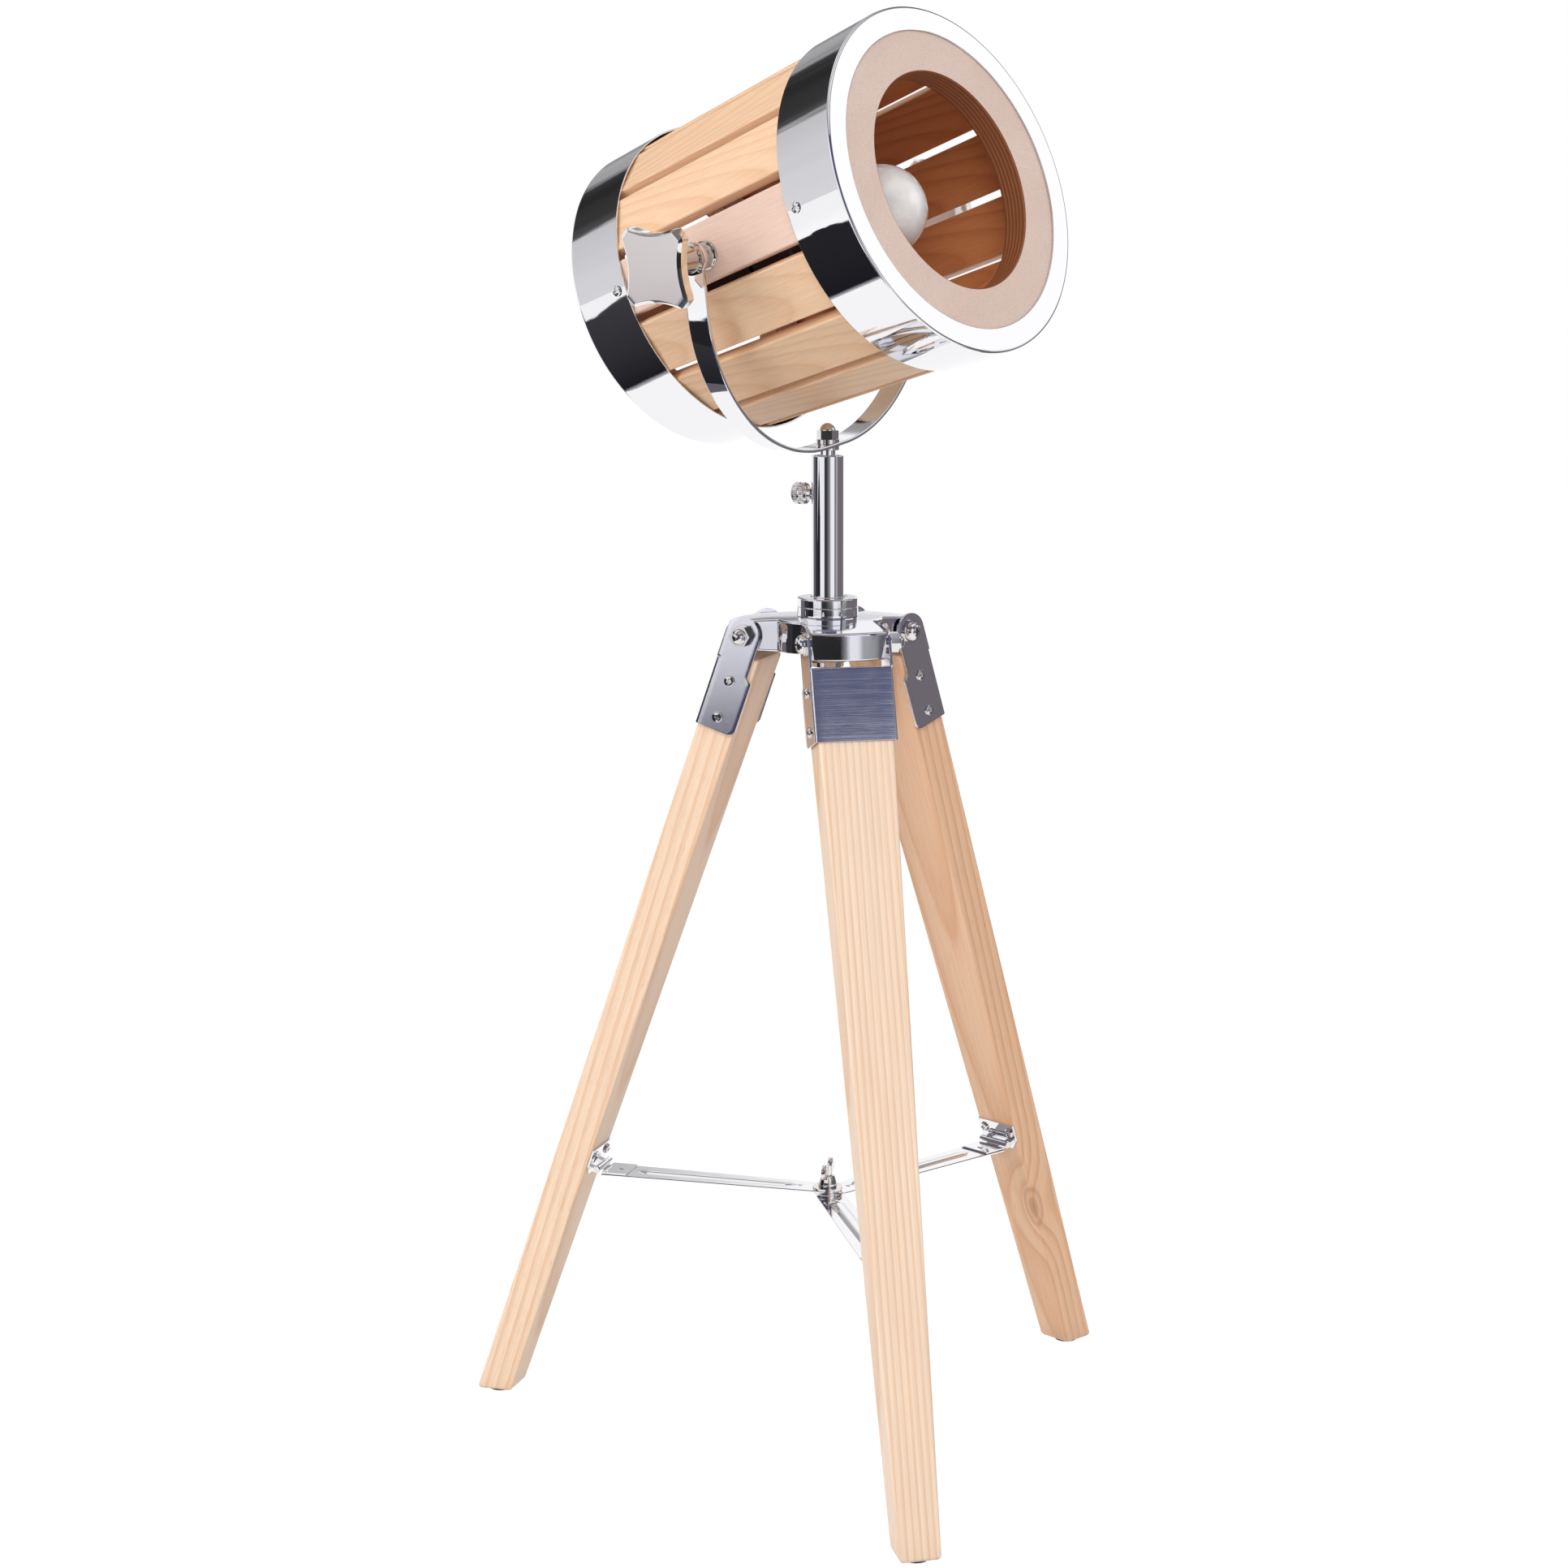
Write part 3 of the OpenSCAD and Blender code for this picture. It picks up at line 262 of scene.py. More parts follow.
def mathNode(kind, *values, clamp=False):
    tree = next(v.id_data for v in values if isinstance(v, bpy.types.NodeSocket))
    return newNode(tree, "Math", dict(enumerate(values)), operation=kind, use_clamp=clamp).outputs[0]


def plus(a, b, clamp=False):
    return mathNode("ADD", a, b, clamp=clamp)


def times(a, b, clamp=False):
    return mathNode("MULTIPLY", a, b, clamp=clamp)


def swing(noise, size):
    # Noise about its middle value, times a size.
    return times(mathNode("SUBTRACT", noise, 0.5), size)


def halfTurn(value):
    # From -1..1 to 0..1.
    return mathNode("MULTIPLY_ADD", value, 0.5, 0.5)


def turnShare(y, x):
    # The angle of a direction as a share of a full turn, 0 at -180 degrees.
    return mathNode("MULTIPLY_ADD", mathNode("ARCTAN2", y, x), 0.5/math.pi, 0.5)


def splitVector(vector):
    return newNode(vector.id_data, "SeparateXYZ", {0: vector}).outputs


def mixColour(tree, factor, a, b, blend="MIX"):
    return newNode(tree, "Mix", {0: factor, 6: a, 7: b}, data_type="RGBA", blend_type=blend).outputs[2]


def mixShader(tree, factor, a, b):
    return newNode(tree, "MixShader", {0: factor, 1: a, 2: b}).outputs[0]


def rampOf(factor, stops, smooth="LINEAR"):
    node = newNode(factor.id_data, "ValToRGB", {0: factor})
    node.color_ramp.interpolation = smooth
    while len(node.color_ramp.elements) < len(stops):
        node.color_ramp.elements.new(0.5)
    for element, (at, value) in zip(node.color_ramp.elements, stops):
        element.position = at
        element.color = (value, value, value, 1)
    return node.outputs[0]


def noiseOf(vector, stretch, detail=3.0, rough=0.55, move=(0, 0, 0)):
    # Noise of size one metre over the stretch along each direction.
    tree = vector.id_data
    if isinstance(stretch, tuple):
        vector = newNode(tree, "Mapping", {"Vector": vector, "Scale": stretch, "Location": move}).outputs[0]
        stretch = 1.0
    inputs = {"Vector": vector, "Scale": stretch, "Detail": detail, "Roughness": rough}
    return newNode(tree, "TexNoise", inputs).outputs["Fac"]


def objectPlace(tree):
    return newNode(tree, "TexCoord", {}).outputs["Object"]


def grainField(tree):
    return newNode(tree, "Attribute", {}, attribute_name="grain").outputs["Vector"]


def newMaterial(name, inputs):
    material = bpy.data.materials.new(name)
    material.use_nodes = True
    shader = material.node_tree.nodes["Principled BSDF"]
    for socket, value in inputs.items():
        feed(shader.inputs[socket], value)
    return material, material.node_tree, shader


def addBump(shader, height, strength, distance):
    inputs = {"Strength": strength, "Distance": distance, "Height": height}
    feed(shader.inputs["Normal"], newNode(shader.id_data, "Bump", inputs).outputs[0])


def newGroup(name, ins, outs):
    group = bpy.data.node_groups.new(name, "ShaderNodeTree")
    kinds = {"vector": "NodeSocketVector", "colour": "NodeSocketColor", "value": "NodeSocketFloat"}
    for label, kind in ins.items():
        group.interface.new_socket(name=label, in_out="INPUT", socket_type=kinds[kind])
    for label, kind in outs.items():
        group.interface.new_socket(name=label, in_out="OUTPUT", socket_type=kinds[kind])
    return group, group.nodes.new("NodeGroupInput").outputs, group.nodes.new("NodeGroupOutput").inputs


def makeGrainGroup():
    # Wood cut from a log: growth rings are the distance from a far pith line, bent by slow noise, light
    # early wood running into a thin darker late line, with fine fibres and short flecks along the board.
    # A knot adds to that distance around it. The vector is (along, across, depth) in metres.
    group, enter, leave = newGroup("boardGrain", {
        "Vector": "vector", "Light": "colour", "Dark": "colour", "Blush": "colour", "Ring Size": "value",
        "Ring Strength": "value", "Fleck": "value", "Pith": "value", "Slope": "value", "Wander": "value",
        "Knot": "vector", "Knot Size": "value",
    }, {"Color": "colour", "Roughness": "value", "Height": "value"})
    vector = enter["Vector"]
    bend = noiseOf(vector, (2.2, 14, 14), 2.0)
    along, across, depth = splitVector(vector)
    y = plus(across, swing(bend, enter["Wander"]))
    z = plus(plus(depth, enter["Pith"]), times(along, enter["Slope"]))
    far = mathNode("SQRT", plus(times(y, y), times(z, z)))
    away = newNode(group, "VectorMath", {0: vector, 1: enter["Knot"]}, operation="SUBTRACT").outputs[0]
    away = newNode(group, "Mapping", {"Vector": away, "Scale": (0.5, 1, 1)}).outputs[0]
    reach = newNode(group, "VectorMath", {0: away}, operation="LENGTH").outputs["Value"]
    near = plus(mathNode("DIVIDE", reach, enter["Knot Size"]), swing(bend, 0.5))
    swirl = mathNode("POWER", 2.718, times(times(near, near), -0.35))
    far = plus(far, times(times(swirl, enter["Knot Size"]), 1.6))
    phase = mathNode("FRACT", mathNode("DIVIDE", far, enter["Ring Size"]))
    line = rampOf(phase, [(0.0, 0.25), (0.1, 0.0), (0.45, 0.08), (0.78, 0.62), (0.92, 1.0), (1.0, 0.25)],
                  "EASE")
    fibre = noiseOf(vector, (9, 900, 900), 3.0, 0.6)
    broad = noiseOf(vector, (3.0, 30, 30), 2.0)
    fleck = rampOf(noiseOf(vector, (70, 1400, 1400), 1.0, move=(0.3, 0.1, 0.2)), [(0.66, 0.0), (0.74, 1.0)])
    strength = times(times(line, enter["Ring Strength"]), plus(times(broad, 1.2), 0.4), clamp=True)
    colour = mixColour(group, times(broad, 0.7), enter["Light"], enter["Blush"])
    colour = mixColour(group, strength, colour, enter["Dark"])
    shade = rampOf(fibre, [(0.3, 0.88), (0.7, 1.05)])
    colour = mixColour(group, 0.75, colour, mixColour(group, 1.0, colour, shade, "MULTIPLY"))
    colour = mixColour(group, times(fleck, enter["Fleck"]), colour, enter["Dark"])
    eye = rampOf(near, [(0.0, 0.75), (0.35, 0.5), (0.5, 0.15), (0.75, 0.5), (0.9, 0.1), (1.0, 0.0)], "EASE")
    feed(leave["Color"], mixColour(group, times(eye, 0.8), colour, tone(176, 116, 84)))
    feed(leave["Roughness"], plus(times(fibre, 0.18), 0.36))
    feed(leave["Height"], plus(times(fibre, 0.7), times(line, -0.3)))
    return group


def makeSmudgeGroup():
    # Handling marks on polished metal: slow noise between a low and a high roughness.
    ins = {"Vector": "vector", "Low": "value", "High": "value", "Scale": "value"}
    group, enter, leave = newGroup("polishMarks", ins, {"Roughness": "value", "Height": "value"})
    inputs = {"Detail": 5.0, "Vector": enter["Vector"], "Scale": enter["Scale"]}
    cloud = newNode(group, "TexNoise", inputs).outputs["Fac"]
    inputs = {"Value": cloud, "From Min": 0.3, "From Max": 0.75, "To Min": enter["Low"],
              "To Max": enter["High"]}
    feed(leave["Roughness"], newNode(group, "MapRange", inputs).outputs[0])
    feed(leave["Height"], cloud)
    return group


grainGroup = makeGrainGroup()
smudgeGroup = makeSmudgeGroup()


def woodMaterial(name, light, dark, blush, ring, strength, fleck, pith, slope, wander=0.016, coat=0.12):
    look = {"Specular IOR Level": 0.42, "Coat Weight": coat, "Coat Roughness": 0.34}
    material, tree, shader = newMaterial(name, look)
    group = newNode(tree, "Group", {
        "Vector": grainField(tree), "Light": light, "Dark": dark, "Blush": blush, "Ring Size": ring,
        "Ring Strength": strength, "Fleck": fleck, "Pith": pith, "Slope": slope, "Wander": wander,
        "Knot Size": 0.0001,
    }, node_tree=grainGroup).outputs
    feed(shader.inputs["Base Color"], group["Color"])
    feed(shader.inputs["Roughness"], group["Roughness"])
    addBump(shader, group["Height"], 0.06, 0.0004)
    return material


def metalMaterial(name, colour, low, high, scale, bump=0.0, brushed=False):
    # Polished metal, or metal with brushing lines along the piece's own grain.
    material, tree, shader = newMaterial(name, {"Metallic": 1.0, "Base Color": colour})
    inputs = {"Vector": objectPlace(tree), "Low": low, "High": high, "Scale": scale}
    group = newNode(tree, "Group", inputs, node_tree=smudgeGroup).outputs
    roughness = group["Roughness"]
    if brushed:
        lines = noiseOf(grainField(tree), (6, 2200, 2200), 4.0, 0.65)
        roughness = plus(roughness, times(lines, 0.10))
        tint = rampOf(lines, [(0.25, 0.8), (0.75, 1.12)])
        feed(shader.inputs["Base Color"], mixColour(tree, 1.0, colour, tint, "MULTIPLY"))
        addBump(shader, lines, 0.12, 0.0003)
    elif bump:
        addBump(shader, group["Height"], bump, 0.002)
    feed(shader.inputs["Roughness"], roughness)
    return material


def veneerMaterial():
    # Pale rotary-cut face veneer: fine mottling, faint scratches.
    material, tree, shader = newMaterial("ringVeneer", {"Roughness": 0.55})
    vector = grainField(tree)
    fine = noiseOf(vector, (500, 1300, 900), 4.0, 0.7)
    cloud = noiseOf(vector, (14, 26, 20))
    scratch = noiseOf(vector, (60, 1500, 200), 2.0, move=(0.2, 0.4, 0))
    patches = rampOf(cloud, [(0.3, 0.0), (0.7, 1.0)])
    colour = mixColour(tree, patches, tone(228, 202, 189), tone(236, 213, 201))
    colour = mixColour(tree, rampOf(fine, [(0.42, 0.0), (0.75, 0.55)]), colour, tone(206, 172, 156))
    colour = mixColour(tree, rampOf(scratch, [(0.68, 0.0), (0.74, 0.35)]), colour, tone(198, 160, 142))
    feed(shader.inputs["Base Color"], colour)
    addBump(shader, fine, 0.08, 0.0003)
    return material


def plyEdgeMaterial():
    # The cut edge of plywood: a ply about every 1.4 mm of depth, long and end grain in turn.
    material, tree, shader = newMaterial("plyEdge", {"Roughness": 0.6})
    vector = grainField(tree)
    depth = plus(splitVector(vector)[2], times(noiseOf(vector, (30, 30, 30), 2.0), 0.0008))
    phase = mathNode("FRACT", mathNode("DIVIDE", depth, 0.0029))
    layer = rampOf(phase, [(0.0, 0.0), (0.06, 1.0), (0.44, 0.9), (0.5, 0.1), (0.94, 0.25), (1.0, 0.0)])
    fibre = noiseOf(vector, (300, 300, 2500), 4.0, 0.7)
    colour = mixColour(tree, layer, tone(128, 72, 38), tone(178, 114, 72))
    colour = mixColour(tree, rampOf(fibre, [(0.35, 0.0), (0.8, 0.6)]), colour, tone(122, 66, 34))
    feed(shader.inputs["Base Color"], colour)
    addBump(shader, layer, 0.25, 0.0005)
    return material


def mouldedMaterial(name, colour, low, high, scale, bump, coat=0.0, coatRough=0.03):
    # Moulded plastic, rubber or glass with a fine grained skin.
    material, tree, shader = newMaterial(name, {"Coat Weight": coat, "Coat Roughness": coatRough})
    place = objectPlace(tree)
    skin = noiseOf(place, scale, 3.0, 0.6)
    tint = rampOf(noiseOf(place, 40), [(0.3, 0.85), (0.7, 1.15)])
    feed(shader.inputs["Base Color"], mixColour(tree, 1.0, colour, tint, "MULTIPLY"))
    feed(shader.inputs["Roughness"], rampOf(skin, [(0.3, low), (0.7, high)]))
    addBump(shader, skin, bump, 0.0003)
    return material


# Metals: colour, lower and upper roughness, size of the marks.
chrome = metalMaterial("polishedChrome", (0.86, 0.86, 0.88), 0.015, 0.05, 18, bump=0.02)
castChrome = metalMaterial("castHubChrome", (0.84, 0.84, 0.88), 0.03, 0.10, 40, bump=0.05)
mirrorLip = metalMaterial("mirrorLip", (0.97, 0.97, 0.975), 0.01, 0.04, 18)
sheetSteel = metalMaterial("brushedSheetSteel", (0.90, 0.90, 0.95), 0.04, 0.09, 60, brushed=True)
nickel = metalMaterial("nickelledFastener", (0.78, 0.76, 0.75), 0.05, 0.12, 60)
strapSteel = metalMaterial("strapSteel", (0.92, 0.91, 0.92), 0.04, 0.12, 60, bump=0.02)
knobMetal = metalMaterial("satinKnobMetal", (0.72, 0.67, 0.675), 0.27, 0.33, 20)
knobEdge = metalMaterial("polishedKnobEdge", (0.86, 0.84, 0.83), 0.03, 0.09, 60)
# The knob hubs and pivot spools: nickel whose colour is darkened below the other nickel as painted shade,
# standing in for dark reflections of the shaded slat and the gap.
hubMetalPaintedShade = metalMaterial("hubNickelPaintedShade", (0.60, 0.575, 0.55), 0.04, 0.10, 60)
brass = metalMaterial("contactBrass", (0.80, 0.62, 0.30), 0.15, 0.3, 90)

# Woods: light, dark and blush tones, ring size and strength, flecks, distance to the pith, slope of grain.
slatPine = woodMaterial("slatPine", tone(246, 209, 175), tone(221, 164, 114), tone(240, 194, 154),
                        0.0026, 0.38, 0.15, 0.07, 0.006, wander=0.004)
# The slats' inner faces: a darker, more orange copy of the pine, which is painted shade for the inside of the
# barrel, and no varnish coat.
slatInsidePaintedShade = woodMaterial("slatInsidePaintedShade", tone(228, 152, 98), tone(190, 112, 64), tone(212, 134, 84),
                          0.0030, 0.5, 0.3, 0.06, 0.01, wander=0.005, coat=0.0)
slatBlush = woodMaterial("pivotSlatVeneer", tone(238, 207, 191), tone(218, 178, 156), tone(231, 197, 178),
                         0.02, 0.12, 0.4, 0.2, 0.01)
legWoods = {
    "front": woodMaterial("frontLegPine", tone(253, 229, 206), tone(238, 188, 142), tone(248, 216, 188),
                          0.0047, 0.68, 0.08, 0.16, 0.0008, wander=0.007),
    "left": woodMaterial("leftLegPine", tone(255, 230, 205), tone(230, 172, 122), tone(251, 210, 176),
                         0.0075, 0.5, 0.5, 0.035, 0.03),
    "right": woodMaterial("rightLegPine", tone(252, 214, 182), tone(222, 158, 108), tone(246, 192, 148),
                          0.0070, 0.5, 0.55, 0.04, 0.03),
}
barPine = woodMaterial("lampBarPine", tone(222, 180, 142), tone(186, 132, 88), tone(212, 164, 124),
                       0.004, 0.4, 0.3, 0.06, 0.02)
ringVeneer = veneerMaterial()
plyEdge = plyEdgeMaterial()
blackPlastic = mouldedMaterial("socketPlastic", (0.025, 0.025, 0.027), 0.28, 0.42, 2500, 0.1)
rubber = mouldedMaterial("footRubber", (0.03, 0.03, 0.03), 0.55, 0.75, 1800, 0.2)
opalGlass = mouldedMaterial("opalGlass", (0.98, 0.965, 0.96), 0.08, 0.14, 60, 0.01, 0.6, 0.06)
print("materials made")

cameraPlan = {"place": (-1778.4, -1364.6, 858.6), "turn": -52.5, "yaw": 1.875, "pitch": 9.958, "roll": 0.327,
              "lens": 75.196, "shiftX": -0.0952}


def standAt(thing, place, right, up, ahead):
    # Puts a camera or a lamp at a place in metres, looking ahead.
    rows = np.eye(4)
    rows[:3] = np.column_stack([right, up, -ahead, place])
    thing.matrix_world = Matrix(rows.tolist())


def makeCamera():
    data = bpy.data.cameras.new("studioCamera")
    data.lens, data.sensor_width, data.shift_x = cameraPlan["lens"], 36.0, cameraPlan["shiftX"]
    data.clip_end = 30
    yaw, pitch, roll, turn = (rad(cameraPlan[key]) for key in ("yaw", "pitch", "roll", "turn"))
    right = np.array([math.cos(yaw), -math.sin(yaw), 0])
    ahead = np.array([math.sin(yaw)*math.cos(pitch), math.cos(yaw)*math.cos(pitch), -math.sin(pitch)])
    up = np.cross(right, ahead)
    right, up = right*math.cos(roll) + up*math.sin(roll), up*math.cos(roll) - right*math.sin(roll)
    c, s = math.cos(turn), math.sin(turn)
    spin = np.array([[c, -s, 0], [s, c, 0], [0, 0, 1]])
    camera = addObject("studioCamera", data)
    standAt(camera, np.array(cameraPlan["place"])*mm, spin @ right, spin @ up, spin @ ahead)
    bpy.context.scene.camera = camera


studioPlan = {
    # brightness of the studio seen in polished metal, by angle round the barrel's axis
    "aroundBarrel": [(-180, 0.14), (-163, 0.05), (-138, 0.02), (-131, 0.02), (-125, 0.68), (-100, 0.95),
                     (-15, 0.85), (5, 0.85), (14, 0.72), (20, 0.24), (34, 0.42), (50, 0.38), (57, 0.05),
                     (70, 0.025), (92, 0.04), (101, 0.08), (106, 0.62), (140, 0.74), (168, 0.78), (180, 0.5)],
    # how far the stripes hold, by how far a direction looks along the barrel
    "stripeBand": [(0.09, 0.0), (0.115, 1.0), (0.22, 1.0), (0.25, 0.0)],
    "edgeBand": [(0.50, 0.0), (0.54, 1.0), (0.715, 1.0), (0.745, 0.0)],
    # brightness from straight down to straight up, in reflections and as soft light
    "byHeight": [(0.0, 1.0), (0.5, 1.0), (0.545, 0.8), (0.60, 1.0), (0.72, 1.05), (0.76, 0.4), (0.83, 0.3),
                 (0.87, 0.95), (1.0, 1.0)],
    "softLight": [(0.0, 0.22), (0.45, 0.36), (0.7, 0.74), (1.0, 0.95)],
    # cards near the lamp: azimuth from and to, height from and to, distance, lower and upper brightness
    "cards": {
        "leftGrey": (97, 121, 60, 735, 620, (0.13, 0.12, 0.14), (0.17, 0.155, 0.18)),
        "leftBlack": (121, 141, 60, 735, 620, (0.012, 0.012, 0.016), (0.05, 0.048, 0.055)),
        "leftBlackLow": (141, 163, 60, 645, 620, (0.012, 0.012, 0.016), (0.02, 0.02, 0.024)),
        "leftFade": (121, 163, 5, 60, 620, (0.6, 0.6, 0.62), (0.012, 0.012, 0.016)),
        "leftFront": (165, 206, 60, 468, 640, (0.10, 0.098, 0.15), (0.045, 0.045, 0.085)),
        "rightLow": (-66, 4, 60, 760, 620, (0.14, 0.12, 0.14), (0.19, 0.17, 0.19)),
        "webCard": (-160, -70, 1150, 2300, 1500, (0.115, 0.125, 0.21), (0.07, 0.08, 0.145)),
    },
    "wavyCards": ("leftGrey", "leftBlack", "leftBlackLow", "leftFront"),       # their top edge runs in waves
    # a screen 1.5 m away round the front: brightness by azimuth 0 to 360, above and below a height of 0.41 m
    "screen": (164, 312, 60, 1150, 1500),
    "screenSplit": [(0.395, 0.0), (0.425, 1.0)],
    "screenHigh": [(143, 0.02), (160, 0.02), (163, 1.0), (192, 1.0), (195, 0.04), (212, 0.05), (228, 0.25),
                   (236, 0.4), (239, 1.0), (266, 1.0), (268, 0.08), (274, 0.1), (277, 0.42), (290, 0.42),
                   (294, 0.17), (318, 0.16)],
    "screenLow": [(143, 0.3), (160, 0.5), (190, 0.9), (196, 0.03), (232, 0.02), (239, 0.3), (243, 0.95),
                  (252, 0.9), (258, 0.42), (274, 0.34), (281, 0.12), (290, 0.12), (305, 0.3), (318, 0.17)],
}


def makeWorld():
    # White to the camera, soft daylight from above on everything, and for reflections a white studio with
    # dark flags: stripes by the angle round the barrel's axis on the side away from its mouth.
    world = bpy.data.worlds.new("studioWorld")
    world.use_nodes = True
    tree = world.node_tree
    tree.nodes.clear()
    direction = newNode(tree, "TexCoord", {}).outputs["Generated"]

    def along(axis):
        inputs = {0: direction, 1: tuple(float(v) for v in axis)}
        return newNode(tree, "VectorMath", inputs, operation="DOT_PRODUCT").outputs["Value"]

    def background(colour, strength):
        return newNode(tree, "Background", {"Color": colour, "Strength": strength}).outputs[0]

    wobble = swing(noiseOf(direction, (7, 7, 7), 4.0, 0.6), 0.09)
    ahead = halfTurn(along(barrelAxis))
    height = halfTurn(along(upward))
    turn = plus(turnShare(along(barrelUp), along(yokeX)), wobble)
    stripes = rampOf(turn, [((a + 180)/360, v) for a, v in studioPlan["aroundBarrel"]])
    plainStudio = rampOf(plus(height, times(wobble, 0.6)), studioPlan["byHeight"])
    edge = times(rampOf(ahead, studioPlan["edgeBand"]), 0.85)
    studio = mixColour(tree, edge, plainStudio, (0.05, 0.05, 0.06))
    studio = mixColour(tree, rampOf(ahead, studioPlan["stripeBand"]), studio, stripes)
    studio = mixColour(tree, 1.0, studio, (0.985, 0.98, 1.0), "MULTIPLY")
    soft = background(rampOf(height, studioPlan["softLight"]), 0.85)
    path = newNode(tree, "LightPath", {}).outputs
    seen = plus(path["Is Camera Ray"], path["Is Transmission Ray"], clamp=True)
    inMetal = mixShader(tree, path["Is Glossy Ray"], soft, background(studio, 1.0))
    newNode(tree, "OutputWorld", {0: mixShader(tree, seen, inMetal, background((1, 1, 1), 1.0))})
    bpy.context.scene.world = world


def stagePiece(name, points, faces):
    # A piece of the studio with an empty material; gives back the piece and the material's tree.
    mesh = newMesh(name, points, faces)
    piece = addObject(name, mesh)
    material = bpy.data.materials.new(name)
    material.use_nodes = True
    material.node_tree.nodes.clear()
    mesh.materials.append(material)
    return piece, material.node_tree


def cardTree(name, a1, a2, z1, z2, far, steps=17):
    # A strip of an upright cylinder about the lamp that only polished surfaces see.
    a = np.radians(np.linspace(a1, a2, steps))
    rows = [np.stack([far*np.cos(a), far*np.sin(a), np.full(steps, z)], -1) for z in (z1, z2)]
    card, tree = stagePiece(name, np.concatenate(rows)*mm, gridQuads(2, steps))
    card.visible_camera = card.visible_diffuse = card.visible_shadow = False
    card.visible_transmission = card.visible_volume_scatter = False
    return tree


def glowOf(tree, colour, strength=1.0):
    return newNode(tree, "Emission", {"Color": colour, "Strength": strength}).outputs[0]


def makeCards():
    # Brightness rises with height and a slow cloud; the wavy top edge lets light through.
    for name, (a1, a2, z1, z2, far, low, high) in studioPlan["cards"].items():
        tree = cardTree(name, a1, a2, z1, z2, far)
        place = objectPlace(tree)
        z = splitVector(place)[2]
        rise = mathNode("DIVIDE", mathNode("SUBTRACT", z, z1*mm), (z2 - z1)*mm, clamp=True)
        rise = plus(rise, swing(noiseOf(place, 6.0, 4.0), 0.25), clamp=True)
        shown = glowOf(tree, mixColour(tree, rise, low, high))
        if name in studioPlan["wavyCards"]:
            fringe = swing(noiseOf(place, (14, 14, 2.5), 4.0, 0.65), 3.0)
            below = plus(times(mathNode("SUBTRACT", z2*mm, z), 12.0), fringe)
            clear = newNode(tree, "BsdfTransparent", {}).outputs[0]
            shown = mixShader(tree, rampOf(below, [(0.3, 0.0), (0.4, 1.0)]), clear, shown)
        newNode(tree, "OutputMaterial", {0: shown})


def makeScreen():
    # The screen's brightness is read from two lists by azimuth, one for above and one for below the split.
    tree = cardTree("frontScreen", *studioPlan["screen"], 57)
    place = objectPlace(tree)
    x, y, z = splitVector(place)
    cloud = swing(noiseOf(place, 2.5, 4.0), 0.012)
    turn = plus(turnShare(times(y, -1.0), times(x, -1.0)), cloud)
    high = rampOf(turn, [(a/360, v) for a, v in studioPlan["screenHigh"]])
    low = rampOf(turn, [(a/360, v) for a, v in studioPlan["screenLow"]])
    colour = mixColour(tree, rampOf(plus(z, cloud), studioPlan["screenSplit"]), low, high)
    colour = mixColour(tree, 1.0, colour, (0.95, 0.95, 1.0), "MULTIPLY")
    newNode(tree, "OutputMaterial", {0: glowOf(tree, colour)})


def makeLamp(name, place, target, size, power, colour=(1, 1, 1)):
    data = bpy.data.lights.new(name, "AREA")
    data.shape, data.size, data.energy, data.color = "SQUARE", size, power, colour
    ahead = np.array(target, float) - np.array(place, float)
    ahead /= np.linalg.norm(ahead)
    right = np.cross(ahead, upward)
    right /= np.linalg.norm(right)
    lamp = addObject(name, data)
    standAt(lamp, place, right, np.cross(right, ahead), ahead)
    lamp.visible_glossy = False


def makeFloor():
    # A pale floor that reads white to the camera and keeps a soft shadow.
    size = 6.0
    corners = [(-size, -size, 0), (size, -size, 0), (size, size, 0), (-size, size, 0)]
    tree = stagePiece("studioFloor", corners, [(0, 1, 2, 3)])[1]
    paint = newNode(tree, "BsdfDiffuse", {"Color": (0.6, 0.6, 0.6)}).outputs[0]
    path = newNode(tree, "LightPath", {}).outputs
    share = times(plus(path["Is Camera Ray"], path["Is Glossy Ray"], clamp=True), 0.86)
    newNode(tree, "OutputMaterial", {0: mixShader(tree, share, paint, glowOf(tree, (1, 1, 1), 1.12))})


makeCamera()
makeWorld()
makeFloor()
makeCards()
makeScreen()
makeLamp("keyLight", (-2.3, -1.8, 2.6), (0, 0, 0.7), 1.8, 38, (1.0, 0.99, 0.97))
makeLamp("sideLight", (-2.6, 1.2, 1.4), (0, 0, 0.6), 1.6, 32, (0.98, 0.99, 1.0))
makeLamp("rimLight", (1.6, -1.8, 1.5), (0, 0, 0.7), 1.2, 6)
bpy.context.scene.view_settings.view_transform = "Standard"
print("camera, world, lamps and floor made")

slatPlan = {"from": -122.4, "to": 126.0, "end": 0.4, "chamfer": 0.5, "edge": 1.3}


def slatR(s):
    # Radius over the slats' edges at the station s along the barrel's axis.
    h = headPlan
    return h["backR"] + (h["frontR"] - h["backR"])*(s + h["backS"])/(h["frontS"] + h["backS"])


